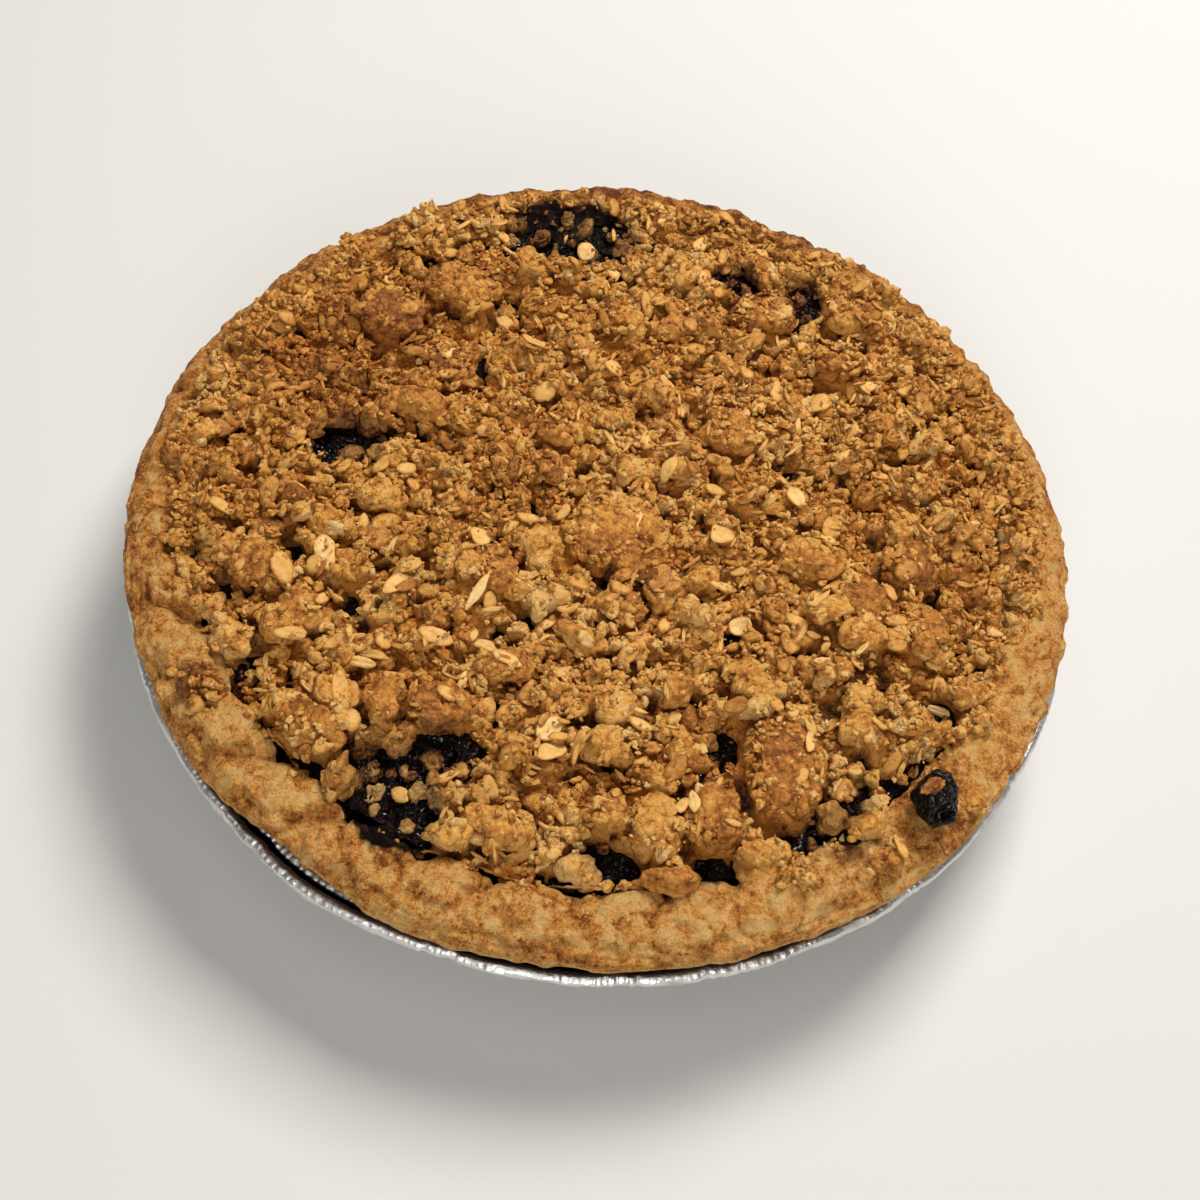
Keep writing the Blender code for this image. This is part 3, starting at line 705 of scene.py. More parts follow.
@dataclass(frozen=True)
class CrumbleFinish:
    """Toasted oat crumble: pale and floury below, golden, and brown on top."""

    flour: Colour = shade(224, 186, 121)
    straw: Colour = shade(219, 172, 100)
    gold: Colour = shade(210, 150, 67)
    toast: Colour = shade(178, 112, 46)
    burnt: Colour = shade(122, 70, 26)
    jam: Colour = (0.030, 0.008, 0.008)
    recess: Colour = (0.75, 0.51, 0.27)

    def material(self) -> Material:
        """Dry granular crumb whose colour follows how much heat reached it, with painted shade between its
        grains, in its recesses and low in its gaps.
        """
        graph = Graph("toasted_crumble")
        blotch = graph.noise(3.2 * MM, 4, 0.62)
        grain = graph.noise(0.9 * MM, 5, 0.72)
        bumps = graph.granules(1.7 * MM)
        # The grain and bumps terms are painted shade: darker where the bump relief is low, between the
        # grains.
        level = graph.painted("toast") + 0.9 * (blotch - 0.5) + 0.7 * (0.5 - grain) + 0.4 * (0.74 - bumps)
        colour = graph.ramp(
            level,
            (0.02, self.flour),
            (0.26, self.straw),
            (0.50, self.gold),
            (0.74, self.toast),
            (1.0, self.burnt),
        )
        # Painted shade: the recesses are multiplied darker and more orange.
        deep = graph.mix(graph.painted("recess"), colour, self.recess, "MULTIPLY")
        # Jam stain near the bare patches, and painted shade as dark as jam low in the gaps and the deepest
        # hollows.
        soaked = graph.mix(graph.painted("stain") * grain.band(0.25, 0.6), deep, self.jam)
        relief = 0.4 * grain + 0.5 * bumps + 0.1 * graph.granules(0.6 * MM)
        return graph.finish(
            Base_Color=soaked,
            Roughness=0.66 - 0.3 * graph.painted("stain"),
            Specular_IOR_Level=0.25,
            Normal=graph.bump(relief, 1.5 * MM, 1.0),
        )


@dataclass(frozen=True)
class OatFinish:
    """Rolled oats, pale gold with toasted edges."""

    pale: Colour = shade(230, 194, 130)
    cream: Colour = shade(216, 170, 98)
    gold: Colour = shade(200, 144, 66)
    brown: Colour = shade(156, 98, 34)

    def material(self) -> Material:
        """Smooth flat grain with faint fibres."""
        graph = Graph("rolled_oat")
        cloud = graph.noise(1.8 * MM, 3)
        fibre = graph.noise(0.5 * MM, 3, 0.6)
        level = graph.painted("toast") + 0.8 * (cloud - 0.5) + 0.5 * (fibre - 0.5)
        stops = (0.05, self.pale), (0.35, self.cream), (0.65, self.gold), (0.95, self.brown)
        return graph.finish(
            Base_Color=graph.ramp(level, *stops),
            Roughness=0.48 + 0.2 * cloud,
            Specular_IOR_Level=0.3,
            Normal=graph.bump(0.5 * fibre + 0.5 * cloud, 0.5 * MM, 0.7),
        )


@dataclass(frozen=True)
class BerryFinish:
    """The wrinkled skin of a baked blueberry, near black with a dull bloom."""

    skin: Colour = (0.0025, 0.0018, 0.0016)
    bloom: Colour = (0.006, 0.0045, 0.004)
    brown: Colour = (0.10, 0.05, 0.025)

    def material(self) -> Material:
        """Dark half-gloss skin with brown dried juice in places."""
        graph = Graph("berry_skin")
        cloud = graph.noise(2.6 * MM, 4, 0.6)
        dry = graph.noise(1.2 * MM, 3)
        skin = graph.mix(cloud.band(0.45, 0.7), self.skin, self.bloom)
        relief = graph.noise(0.6 * MM, 3, 0.6)
        return graph.finish(
            Base_Color=graph.mix(0.6 * dry.band(0.62, 0.74), skin, self.brown),
            Roughness=0.14 + 0.2 * cloud.band(0.4, 0.65),
            Specular_IOR_Level=0.14,
            Normal=graph.bump(relief, 0.25 * MM, 0.6),
        )


# The pie's pieces


@dataclass
class FoilTin:
    """The thin pressed tin: a flat base, a pleated sloping wall, a flange and a rolled edge."""

    rim_radius: float = 120 * MM
    bead: float = 1.7 * MM
    bead_height: float = 30.3 * MM
    base_radius: float = 92.5 * MM
    heel_radius: float = 94.1 * MM
    heel_height: float = 1.2 * MM
    flange_radius: float = 111.4 * MM
    flange_top: float = 29.6 * MM
    foil: float = 0.6 * MM
    outer_rows: int = 12
    crimps: int = 360
    crimp_depth: float = 0.20 * MM
    crimp_height: float = 0.34 * MM
    flutes: int = 150
    flute_depth: float = 0.2 * MM
    crease: float = 0.6 * MM
    crease_length: float = 5 * MM
    bulge: float = 1.3 * MM
    dent: float = 0.55 * MM
    step: float = 0.8 * MM
    sag: float = 0.45 * MM
    groove: float = 115.9 * MM
    groove_half: float = 0.65 * MM
    groove_floor: float = 26.2 * MM
    columns: int = 2400

    def profile(self) -> Array:
        """The tin's section, as rows of radius, height and share of the crimps' depth."""
        bead_centre = self.rim_radius - self.bead
        wall_top, groove_under = self.flange_top - self.foil, self.groove_floor - self.foil
        inner, outer = self.groove - self.groove_half, self.groove + self.groove_half
        width = self.groove - 1.5 * self.groove_half - self.flange_radius
        rows = [(0, 0, 0), (self.base_radius / 2, 0, 0), (self.base_radius, 0, 0.1)]
        for share in np.linspace(0, 1, 9):
            out = self.heel_radius + share * (self.flange_radius - self.heel_radius)
            rows.append((out, self.heel_height + share * (wall_top - self.heel_height), 0.25 + 0.75 * share))
        rows.append((self.groove - 2 * self.groove_half, wall_top, 1.0))
        rows.append((self.groove - 1.8 * self.groove_half, groove_under, 0.4))
        rows.append((self.groove + 1.8 * self.groove_half, groove_under, 0.2))
        for turn in np.radians(range(-90, 91, 20)):
            out, up = self.bead * np.cos(turn), self.bead * np.sin(turn)
            rows.append((bead_centre + out, self.bead_height + up, 0.5))
        rows.append((bead_centre - 0.8 * self.bead, self.bead_height + 0.5 * self.bead, 0.5))
        rows += [(outer, self.flange_top, 0.5), (outer, self.groove_floor, 0.2)]
        rows += [(inner, self.groove_floor, 0.2), (inner, self.flange_top - 0.5 * MM, 0.8)]
        rows += [(self.flange_radius + (1 - step / 3) * width, self.flange_top, 1.0) for step in range(4)]
        rows += [(self.base_radius + self.foil, self.foil, 0.1), (0, self.foil, 0)]
        return np.array(rows)

    def place(self, row: Array, section: Array, share: Array) -> Array:
        """The points of the tin's skin, crimped and a little bent.

        Args:
            row: The number of each point's row.
            section: That row of the profile.
            share: The point's share of a turn.

        Returns:
            The points.
        """
        angle = 2 * np.pi * share
        out, level, crimp = section.T
        ring = flat_points(np.cos(angle), np.sin(angle))
        lift = np.clip(level / self.bead_height, 0, 1) ** 3
        bent = self.bulge * (swell(angle, -118, 14) + 0.5 * swell(angle, -14, 12))
        uneven = np.maximum(0.65 + 0.45 * swirl(ring, 0.05, 3) + 0.45 * swirl(ring, 0.014, 4), 0.35)
        phase = self.crimps * angle + 5 * swirl(ring, 0.05, 5) + 2.5 * swirl(ring, 0.016, 6)
        fold = 0.5 * np.sin(phase) - 0.5
        dents = rise(swirl(ring, 0.045, 8) + 0.4 * swirl(ring, 0.012, 9), 0.1, 0.9)
        step = self.step * swell(angle, -99, 3.2)
        radius = out + bent * lift + lift * (fold * crimp * uneven * self.crimp_depth)
        along = np.column_stack([ring[:, :2] * self.rim_radius / self.crease_length, row])
        creased = 0.5 - 0.5 * swirl(along, 1.0, 7)
        radius -= lift * (self.dent * dents + 0.3 * step + self.crease * creased)
        wall = (row < self.outer_rows) * rise(level, self.heel_height, 7 * MM)
        pleat = 0.5 + 0.5 * np.sin(self.flutes * angle + 3 * swirl(ring, 0.08, 10))
        radius -= wall * self.flute_depth * pleat * (1 + 0.6 * swirl(ring, 0.03, 11))
        upper = rise(level, self.flange_top - MM, self.flange_top - 0.5 * MM)
        height = level + upper * self.crimp_height * fold * crimp * uneven
        height = height - lift * (self.sag * rise(swirl(ring, 0.06, 12), 0, 1) + 0.5 * step)
        height = np.where(level < 1.5 * MM, level, height)
        return np.stack([radius * np.cos(angle), radius * np.sin(angle), height], axis=1)

    def build(self) -> Piece:
        """Wraps the section round the axis, and paints shade, near black, into the groove inside the rolled
        edge and onto the ledge under the crust, except at the front left.
        """
        rows = self.profile()
        piece = wrapped("crimped_tin", rows, self.columns, self.place)
        row = np.rint(taken(piece, "row")).astype(int)
        x, y, _ = points_of(piece).T
        inside = row > len(rows) - 12
        out, height, _ = rows[row].T
        # Painted shade: the whole groove, and the ledge except at the front left.
        sunk = inside * rise(np.abs(out - self.groove), 1.6 * self.groove_half, self.groove_half)
        ledge = inside * (out > self.flange_radius) * (out < self.groove) * (height > self.groove_floor)
        bright = swell(np.arctan2(y, x), -121, 17)
        paint(piece, tarnish=np.maximum(sunk, 0.95 * ledge * (1 - bright)))
        return piece

    def dress(self) -> None:
        """Builds the tin and hands it over."""
        hand_over(self.build(), Slot.FOIL, FoilFinish().material(), "foil_tin")


@dataclass
class PinchedCrust:
    """The pastry shell with its pinched, blistered and layered rim."""

    edge_radius: float = 118.7 * MM
    edge_height: float = 39.6 * MM
    shoulder_radius: float = 113.4 * MM
    crest_radius: float = 107.2 * MM
    crest_height: float = 45.8 * MM
    inner_radius: float = 101.5 * MM
    floor_radius: float = 88.6 * MM
    floor_top: float = 4.6 * MM
    underside: float = 0.9 * MM
    lobes: int = 33
    lobe_depth: float = 3.0 * MM
    crease_depth: float = 2.8 * MM
    ridge_height: float = 2.4 * MM
    slant: float = 0.45
    layer: float = 0.21 * MM
    berry_dent: float = 2.2 * MM
    reach: float = 119.5 * MM
    columns: int = 1120

    def lobe_angle(self, lobes: Array) -> Array:
        """The angle of a lobe number, with lobes of uneven width."""
        turn = 2 * np.pi * lobes / self.lobes
        return turn + math.radians(1.6) * np.sin(3 * turn + 1) + math.radians(0.8) * np.sin(8 * turn)

    def pinch(self, lobes: Array, angle: Array) -> tuple[Array, Array]:
        """How deep in a crease, and how high on a lobe's fold, places are.

        Args:
            lobes: The places' lobe numbers, whole at the creases.
            angle: Their angles, because the lobes are plainest in front on the left.

        Returns:
            Two shares for each place.
        """
        strength = 0.2 + 0.8 * swell(angle, -122, 105)
        crease = strength * (1 - np.abs(np.sin(np.pi * lobes)) ** 0.55)
        part = lobes % 1
        ridge = strength * np.where(part < 0.86, part / 0.86, (1 - part) / 0.14)
        return crease, ridge

    def edge_retreat(self, angle: Array) -> Array:
        """How far the outer edge stands back from its usual radius."""
        worn = 3.0 * MM * swell(angle, -121, 15) + 0.9 * MM * swell(angle, -25, 22)
        return worn + 0.3 * MM * np.sin(5 * angle + 2) + 0.25 * MM * np.sin(11 * angle)

    def profile(self) -> Array:
        """The section's rows: radius, height, slant, inward, upward and retreat shares."""
        # Last in each ring is the number of rows to the next: from 5 rows on they follow a curve
        rings = [
            (0, self.floor_top, 0, 0, 0, 0, 1),
            (self.floor_radius, self.floor_top, 0, 0, 0, 0, 2),
            (103.6 * MM, 30 * MM, 0, 0, 0, 0, 4),
            (self.inner_radius, 40.6 * MM, 0, 1, 0.1, 0, 12),
            (self.inner_radius + 2 * MM, self.crest_height - 1.2 * MM, 0.1, 1, 1, 0, 13),
            (self.crest_radius, self.crest_height, 0.4, 0.4, 1, 0.2, 16),
            (self.shoulder_radius, 44 * MM, 0.8, 0, 0.5, 0.35, 15),
            (self.edge_radius, self.edge_height, 1, 0, 0.1, 0.6, 9),
            (self.edge_radius - 0.3 * MM, self.edge_height - 3.6 * MM, 1, 0, 0, 1.2, 5),
            (self.shoulder_radius, 34.0 * MM, 1, 0, 0, 0.8, 2),
            (112.6 * MM, 30.02 * MM, 1, 0, 0, 0, 1),
            (110.2 * MM, 29.9 * MM, 1, 0, 0, 0, 2),
            (91.3 * MM, self.underside, 1, 0, 0, 0, 1),
            (0, self.underside, 1, 0, 0, 0, 1),
        ]
        table, rows = np.array(rings), []
        last = len(table) - 1
        for number, parts in enumerate(table[:last, 6]):
            around = [max(number - 1, 0), number, number + 1, min(number + 2, last)]
            before, start, end, after = table[around, :6]
            for share in np.arange(0, 1, 1 / parts):
                if parts < 5:
                    rows.append(start + share * (end - start))
                    continue
                bend = 2 * start + (end - before) * share
                bend += (2 * before - 5 * start + 4 * end - after) * share**2
                rows.append((bend + (3 * (start - end) + after - before) * share**3) / 2)
        return np.array(rows + [table[-1, :6]])

    def place(self, _: Array, section: Array, share: Array) -> Array:
        """The points of the crust's skin with its lobes, still smooth.

        Args:
            _: The numbers of the points' rows, which have no use here.
            section: Those rows of the profile.
            share: The points' shares of a turn.

        Returns:
            The points.
        """
        out, height, slant, inward, upward, retreat = section.T
        lobes = share * self.lobes
        angle = self.lobe_angle(lobes - self.slant * slant)
        crease, ridge = self.pinch(lobes, angle)
        radius = out + inward * self.lobe_depth * crease - retreat * self.edge_retreat(angle)
        x, y = radius * np.cos(angle), radius * np.sin(angle)
        ring = flat_points(np.cos(angle), np.sin(angle))
        wave = 0.6 * MM * swirl(ring, 0.12, 21) + self.ridge_height * (ridge - 0.5)
        dent = self.berry_dent * np.exp(-((distance(x, y, BERRY_PLACE) / (9 * MM)) ** 2))
        height = height - upward * (self.crease_depth * crease - wave + dent)
        return np.stack([x, y, height], axis=1)

    def build(self) -> Piece:
        """Wraps the section round the axis, then roughens the rim."""
        piece = wrapped("pinched_crust", self.profile(), self.columns, self.place)
        taken(piece, "row")
        points = points_of(piece)
        x, y, z = points.T
        out = np.hypot(x, y)
        rim = rise(z, 34 * MM, 41 * MM) * rise(out, 100 * MM, 103 * MM)
        top = rim * rise(z, 40 * MM, 43.5 * MM)
        blister = rise(pebbles(points, 4.2 * MM, 31), 0.45, 1.0)
        depth = rim * (0.95 * MM * swirl(points, 6 * MM, 32) + 0.75 * MM * swirl(points, 2.8 * MM, 33))
        depth += top * (0.60 * MM * blister - 0.30 * MM) + rim * 0.42 * MM * swirl(points, 1.4 * MM, 34)
        depth += top * 0.50 * MM * (pebbles(points, 2.0 * MM, 38) - 0.5)
        depth += rim * 2.2 * MM * (np.minimum(self.crack(points), 0.3) - 0.2)
        bubbled = swirl(points, 4 * MM, 46), 0.4 - np.abs(swirl(points, 2.4 * MM, 47))
        depth += self.spill(points) * (0.9 * MM * bubbled[0] + 0.9 * MM * bubbled[1])
        lip = rim * (1 - top) * rise(out, 113 * MM, 116 * MM)
        layers = np.sin(z / self.layer + 3 * swirl(points, 9 * MM, 35))
        depth += lip * (0.22 * MM * layers + 0.35 * MM * swirl(points, 3.2 * MM, 36) - 0.15 * MM)
        push_out(piece, depth)
        rough = points_of(piece)
        kept_in = self.reach / np.maximum(np.hypot(rough[:, 0], rough[:, 1]), self.reach)
        rough[:, :2] *= np.minimum(1, kept_in)[:, None]
        move_points(piece, rough)
        self.paint_bake(piece, points, blister, top, lip * (1 + 0.6 * layers))
        return piece

    def crack(self, points: Array) -> Array:
        """0 along the cracks that part the pastry, and more on either side."""
        return np.abs(swirl(points, 6.5 * MM, 37))

    def spill(self, points: Array) -> Array:
        """1 where fruit has bubbled over the pastry."""
        ragged = 0.3 * swirl(points, 5 * MM, 39) + 0.2 * swirl(points, 2 * MM, 40)
        return rise(ellipse_distance(points[:, 0], points[:, 1], JAM_SPILLS) + ragged, 1.1, 0.95)

    def paint_bake(self, piece: Piece, points: Array, blister: Array, top: Array, lip: Array) -> None:
        """Writes how brown each place is, with painted shade in the creases, on one face of each fold and
        under the rim's lip, and where the fruit's juice has run.

        Args:
            piece: The crust.
            points: Its points before they were roughened.
            blister: How blistered each point is.
            top: 1 on the rim's top.
            lip: From 0.4 to 1.6 over the layers of the rim's outer lip, and 0 elsewhere.
        """
        x, y, z = points.T
        angle, out = np.arctan2(y, x), np.hypot(x, y)
        bake = 0.18 + 0.16 * blister * top + 0.14 * rise(z, 42 * MM, 46.5 * MM) + 0.14 * lip
        bake += top * 0.30 * rise(self.crack(points), 0.14, 0.0)
        # Darker at the outer edge, at the back and on the left, and lighter at the front right.
        bake += 0.16 * rise(out, 113 * MM, 117 * MM) - 0.10 * swell(angle, -60, 60)
        bake += 0.10 * swell(angle, 175, 60) + 0.34 * swell(angle, 90, 80)
        bake += 0.30 * rise(distance(x, y, BERRY_PLACE), 14 * MM, 8 * MM)
        radii = (self.inner_radius, self.crest_radius, self.shoulder_radius, 118 * MM)
        slant = np.interp(out, radii, (0, 0.4, 0.8, 1))
        numbers = np.arange(-self.lobes, self.lobes + 1)
        lobes = np.interp(angle, self.lobe_angle(numbers), numbers) + self.slant * slant
        crease, ridge = self.pinch(lobes, angle)
        # Painted shade: darker in the pinched creases and on one face of each fold.
        bake += top * (0.30 * crease + 0.16 * (0.5 - ridge))
        below = rise(out, 108 * MM, 111 * MM)
        # Painted shade under the rim's lip.
        bake += 1.2 * rise(z, 36.0 * MM, 34.6 * MM) * below
        inner = rise(out, 104 * MM, 101 * MM) * rise(patch_distance(x, y), 1.6, 1.0)
        # Near black under the lip at the front: painted shade, and burnt juice.
        under = rise(z, 35.4 * MM, 34.0 * MM) * below * swell(angle, -92, 85)
        stain = 0.7 * rise(distance(x, y, JUICE_PLACE), 13 * MM, 5 * MM)
        paint(piece, bake=bake, stain=stain, jam=np.maximum(np.maximum(inner, under), self.spill(points)))

    def dress(self) -> Piece:
        """Builds the crust, hands it over and gives it for what lies on it."""
        piece = self.build()
        hand_over(piece, Slot.PASTRY, PastryFinish().material(), "pastry_crust")
        return piece


@dataclass
class FruitFilling:
    """The set fruit: a low dome, with berries and wrinkles where it is bare."""

    inner_radius: float = 101.5 * MM
    top_radius: float = 100.9 * MM
    foot_share: float = 88.0 / 100.9
    edge_height: float = 40.0 * MM
    underside: float = 4.9 * MM
    dome: float = 3.0 * MM
    divisions: int = 140

    def build(self) -> Piece:
        """Shapes a square grid into a disc, makes it finer in the patches and closes it below."""
        grid = {"x_subdivisions": self.divisions, "y_subdivisions": self.divisions, "size": 2}
        piece = primitive("grid", "fruit_filling", **grid)
        square = points_of(piece)[:, :2]
        reach = np.abs(square).max(axis=1)
        length = np.hypot(square[:, 0], square[:, 1]) + 1e-9
        move_points(piece, flat_points(*(square * (reach / length)[:, None] * self.top_radius).T))
        middles = np.array([face.center[:2] for face in piece.data.polygons])
        edit(
            piece,
            ("subdivide", {"number_cuts": 3}),
            ("select_all", {"action": "SELECT"}),
            ("extrude_region_move", {"TRANSFORM_OT_translate": {"value": (0, 0, -1)}}),
            chosen=patch_distance(*middles.T) < 1.25,
        )
        self.shape(piece, points_of(piece))
        edit(piece, ("normals_make_consistent", {"inside": False}))
        return smooth(piece)

    def shape(self, piece: Piece, points: Array) -> None:
        """Raises the top into its dome and berries, and lowers the underside.

        Args:
            piece: The filling.
            points: Its points.
        """
        x, y, z = points.T
        below = z < -0.5
        share = np.hypot(x, y) / self.inner_radius
        bare = rise(patch_distance(x, y), 1.35, 1.0) * rise(share, 0.99, 0.95)
        flat = flat_points(x, y)
        berry = rise(pebbles(flat, 8.5 * MM, 41), 0.35, 1.0)
        lift = bare * (2.0 * MM * berry - 0.9 * MM + 0.7 * MM * swirl(flat, 5 * MM, 42))
        wrinkle = np.abs(swirl(flat, 2.4 * MM, 43)) + 0.5 * np.abs(swirl(flat, 1.2 * MM, 44))
        lift += bare * 0.95 * MM * (0.5 - wrinkle)
        lift += 2.4 * MM * rise(ellipse_distance(x, y, JAM_SPILLS), 1.2, 0.7)
        top = self.edge_height + self.dome * (1 - share**2) + lift
        points[:, 2] = np.where(below, self.underside, top)
        points[:, :2] *= np.where(below, self.foot_share, 1)[:, None]
        move_points(piece, points)

    def dress(self) -> Piece:
        """Builds the filling, hands it over and gives it for what lies on it."""
        piece = self.build()
        hand_over(piece, Slot.FILLING, FillingFinish().material(), "blueberry_filling")
        return piece


@dataclass
class CrumbleBed:
    """The body of the crumble under its loose-looking crumbs, with the patches left open."""

    voxel: float = 0.80 * MM
    sink: float = 2.6 * MM
    hole_depth: float = 5.5 * MM
    floor_edge: float = 40.35 * MM
    floor_dome: float = 3 * MM
    inner_radius: float = 101.5 * MM

    def build(self) -> Piece:
        """Takes the solid's own form, divides it finely and roughens it into crumbs."""
        name = "crumble_bed"
        piece = rename(added(name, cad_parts["oat_crumble"].data.copy()), name)
        edit(piece, ("remove_doubles", {"threshold": 0.01 * MM}))
        modify(piece, "REMESH", mode="VOXEL", voxel_size=self.voxel)
        self.thin_underside(piece)
        points, normals = points_of(piece), points_of(piece, "normal")
        x, y, z = points.T
        out = np.hypot(x, y)
        up = rise(normals[:, 2], -0.6, 0.1)
        depth = 1.1 * MM * (pebbles(points, 4.4 * MM, 51) - 0.6)
        depth = depth + 0.7 * MM * (pebbles(points, 2.2 * MM, 52) - 0.6)
        hole = np.maximum(gap(x, y), rise(patch_distance(x, y), 1.5, 1.05))
        broken = rise(swirl(flat_points(x, y), 8 * MM, 53), 0.1, 0.6)
        hole = np.maximum(hole, broken * rise(out, 95.5 * MM, 99.5 * MM))
        moved = points + normals * (up * (depth - 0.3 * MM))[:, None]
        moved[:, :2] *= (1 - 0.008 * rise(out, 90 * MM, 100 * MM))[:, None]
        moved[:, 2] -= up * self.sink
        floor = self.floor_edge + self.floor_dome * (1 - (out / self.inner_radius) ** 2)
        moved[:, 2] = np.maximum(moved[:, 2], np.minimum(floor, z)) - self.hole_depth * hole
        move_points(piece, moved)
        return smooth(piece)

    def thin_underside(self, piece: Piece) -> None:
        """Leaves only as many faces on the unseen underside as its form needs.

        Args:
            piece: The bed.
        """
        edit(
            piece,
            ("select_mode", {"type": "FACE"}),
            ("decimate", {"ratio": 0.06}),
            ("select_all", {"action": "SELECT"}),
            ("quads_convert_to_tris", {}),
            chosen=points_of(piece, "normal")[:, 2] < -0.9,
            by="VERT",
        )


@dataclass
class HeightMap:
    """The height of everything laid so far, on a fine square grid seen from above."""

    cell: float = 0.5 * MM
    reach: float = 122 * MM
    heights: Array = field(init=False)
    kept_clear: Array = field(init=False)

    def __post_init__(self) -> None:
        """Starts empty."""
        self.middle = int(self.reach / self.cell)
        self.heights = np.zeros((2 * self.middle + 1, 2 * self.middle + 1))
        self.kept_clear = np.zeros_like(self.heights)

    def survey(self, *pieces: Piece) -> None:
        """Reads the height of the highest piece on each vertical line."""
        down = Vector((0, 0, -1))
        for row, column in np.ndindex(self.heights.shape):
            x, y = (column - self.middle) * self.cell, (row - self.middle) * self.cell
            if math.hypot(x, y) > self.reach:
                continue
            for piece in pieces:
                hit, place, _, _ = piece.ray_cast(Vector((x, y, 0.08)), down)
                if hit:
                    self.heights[row, column] = max(self.heights[row, column], place.z)

    def window(self, x: float, y: float, radius: float) -> tuple[slice, slice, Array, Array]:
        """The part of the grid round a place.

        Args:
            x: The place along x.
            y: The place along y.
            radius: How far the part reaches.

        Returns:
            Its rows, its columns, and its cells' distances from the place along x and y.
        """
        cells = max(1, math.ceil(radius / self.cell))
        spans, aways = [], []
        for place in (y, x):
            middle = place / self.cell + self.middle
            span = np.arange(max(int(middle) - cells, 0), min(int(middle) + cells + 2, len(self.heights)))
            spans.append(slice(span[0], span[-1] + 1))
            aways.append((span - middle) * self.cell)
        return *spans, aways[1][None, :], aways[0][:, None]

    def settle(
        self, x: float, y: float, half: Array, turn: float, lift: float, top: float, clear: float,
        grip: float = 0.4,
    ) -> float:
        """Lets a lump sink onto what is there, and adds it to the heights.

        Args:
            x: Its place along x.
            y: Its place along y.
            half: Its half lengths.
            turn: Its turn about the vertical, in radians.
            lift: How far its middle is over what it lies on, as a share of its half height.
            top: The height that its top may reach.
            clear: How surely small crumbs keep off it.
            grip: How much it rests on the highest place below it, and not on the mean.

        Returns:
            The height of its middle.
        """
        rows, columns, across, along = self.window(x, y, max(half[0], half[1]))
        u = (across * math.cos(turn) + along * math.sin(turn)) / half[0]
        v = (along * math.cos(turn) - across * math.sin(turn)) / half[1]
        away = u * u + v * v
        under = self.heights[rows, columns]
        near = under[away < 0.6]
        if not near.size:
            near = under.ravel()
        ground = (1 - grip) * near.mean() + grip * near.max()
        height = min(ground + lift * half[2], top - half[2])
        skin = height + half[2] * np.sqrt(np.clip(1 - away, 0, 1))
        self.heights[rows, columns] = np.where(away < 1, np.maximum(under, skin), under)
        marked = self.kept_clear[rows, columns]
        self.kept_clear[rows, columns] = np.where(away < 0.8, np.maximum(marked, clear), marked)
        return height

    def softened(self, radius: float) -> Array:
        """The heights averaged over a radius, among the cells that have one."""
        known = (self.heights > 0).astype(float)
        total = self.heights * known
        cells = int(radius / self.cell)
        for _ in range(2):
            for axis in (0, 1):
                total, known = (self.running(values, cells, axis) for values in (total, known))
        return total / np.maximum(known, 1e-9)

    @staticmethod
    def running(values: Array, cells: int, axis: int) -> Array:
        """The mean over a number of cells to either side along an axis."""
        pads = [(0, 0), (0, 0)]
        pads[axis] = (cells + 1, cells)
        sums = np.cumsum(np.pad(values, pads, mode="edge"), axis=axis)
        span = 2 * cells + 1
        upper = np.take(sums, np.arange(span, sums.shape[axis]), axis=axis)
        lower = np.take(sums, np.arange(0, sums.shape[axis] - span), axis=axis)
        return (upper - lower) / span

    def read(self, grid: Array, x: Array, y: Array) -> Array:
        """The values of a grid at places."""
        cells = (np.rint(place / self.cell).astype(int) + self.middle for place in (y, x))
        return grid[tuple(np.clip(cell, 0, len(grid) - 1) for cell in cells)]


@dataclass(frozen=True, kw_only=True)
class Shape:
    """How one kind of crumb is shaped and toned."""

    name: str
    seed: int
    subdivisions: int
    uneven: float
    pebble: float = MM
    pebble_depth: float = 0.0
    tone: float = 0.0
    lift: float
    clear: float = 0.0


@dataclass(frozen=True, kw_only=True)
class Scatter(Shape):
    """One size of scattered crumb: how many, how large and how close."""

    count: int
    smallest: float
    largest: float
    spacing: float = 0.0
    open_share: float = 0.02
    heed: float = 1.0


GREAT = Shape(
    name="crumble_great_clumps", seed=80, subdivisions=6, uneven=0.24, pebble=1.9 * MM,
    pebble_depth=1.05 * MM, tone=0.20, lift=0.45, clear=0.93,
)
LARGE = Shape(
    name="crumble_clumps", seed=81, subdivisions=5, uneven=0.38, pebble=1.9 * MM, pebble_depth=0.95 * MM,
    tone=0.12, lift=0.4, clear=0.88,
)
MIDDLING = Shape(
    name="crumble_middling_clumps", seed=83, subdivisions=4, uneven=0.42, pebble=1.8 * MM,
    pebble_depth=0.8 * MM, tone=0.05, lift=0.4, clear=0.85,
)
STRAY = Shape(
    name="rim_crumbs", seed=82, subdivisions=4, uneven=0.5, pebble=1.7 * MM, pebble_depth=0.8 * MM,
    tone=0.04, lift=0.25, clear=0.3,
)
CHUNKS = Scatter(
    name="crumble_chunks", seed=60, subdivisions=4, uneven=0.46, pebble=1.7 * MM, pebble_depth=0.75 * MM,
    tone=0.06, lift=0.35, clear=0.55,
    count=70, smallest=2.8 * MM, largest=5.0 * MM, spacing=0.78, open_share=0.0,
)
LUMPS = Scatter(
    name="crumble_lumps", seed=61, subdivisions=3, uneven=0.55, pebble=1.5 * MM, pebble_depth=0.65 * MM,
    tone=0.02, lift=0.35, clear=0.40,
    count=420, smallest=1.6 * MM, largest=3.0 * MM, spacing=0.60, open_share=0.0,
)
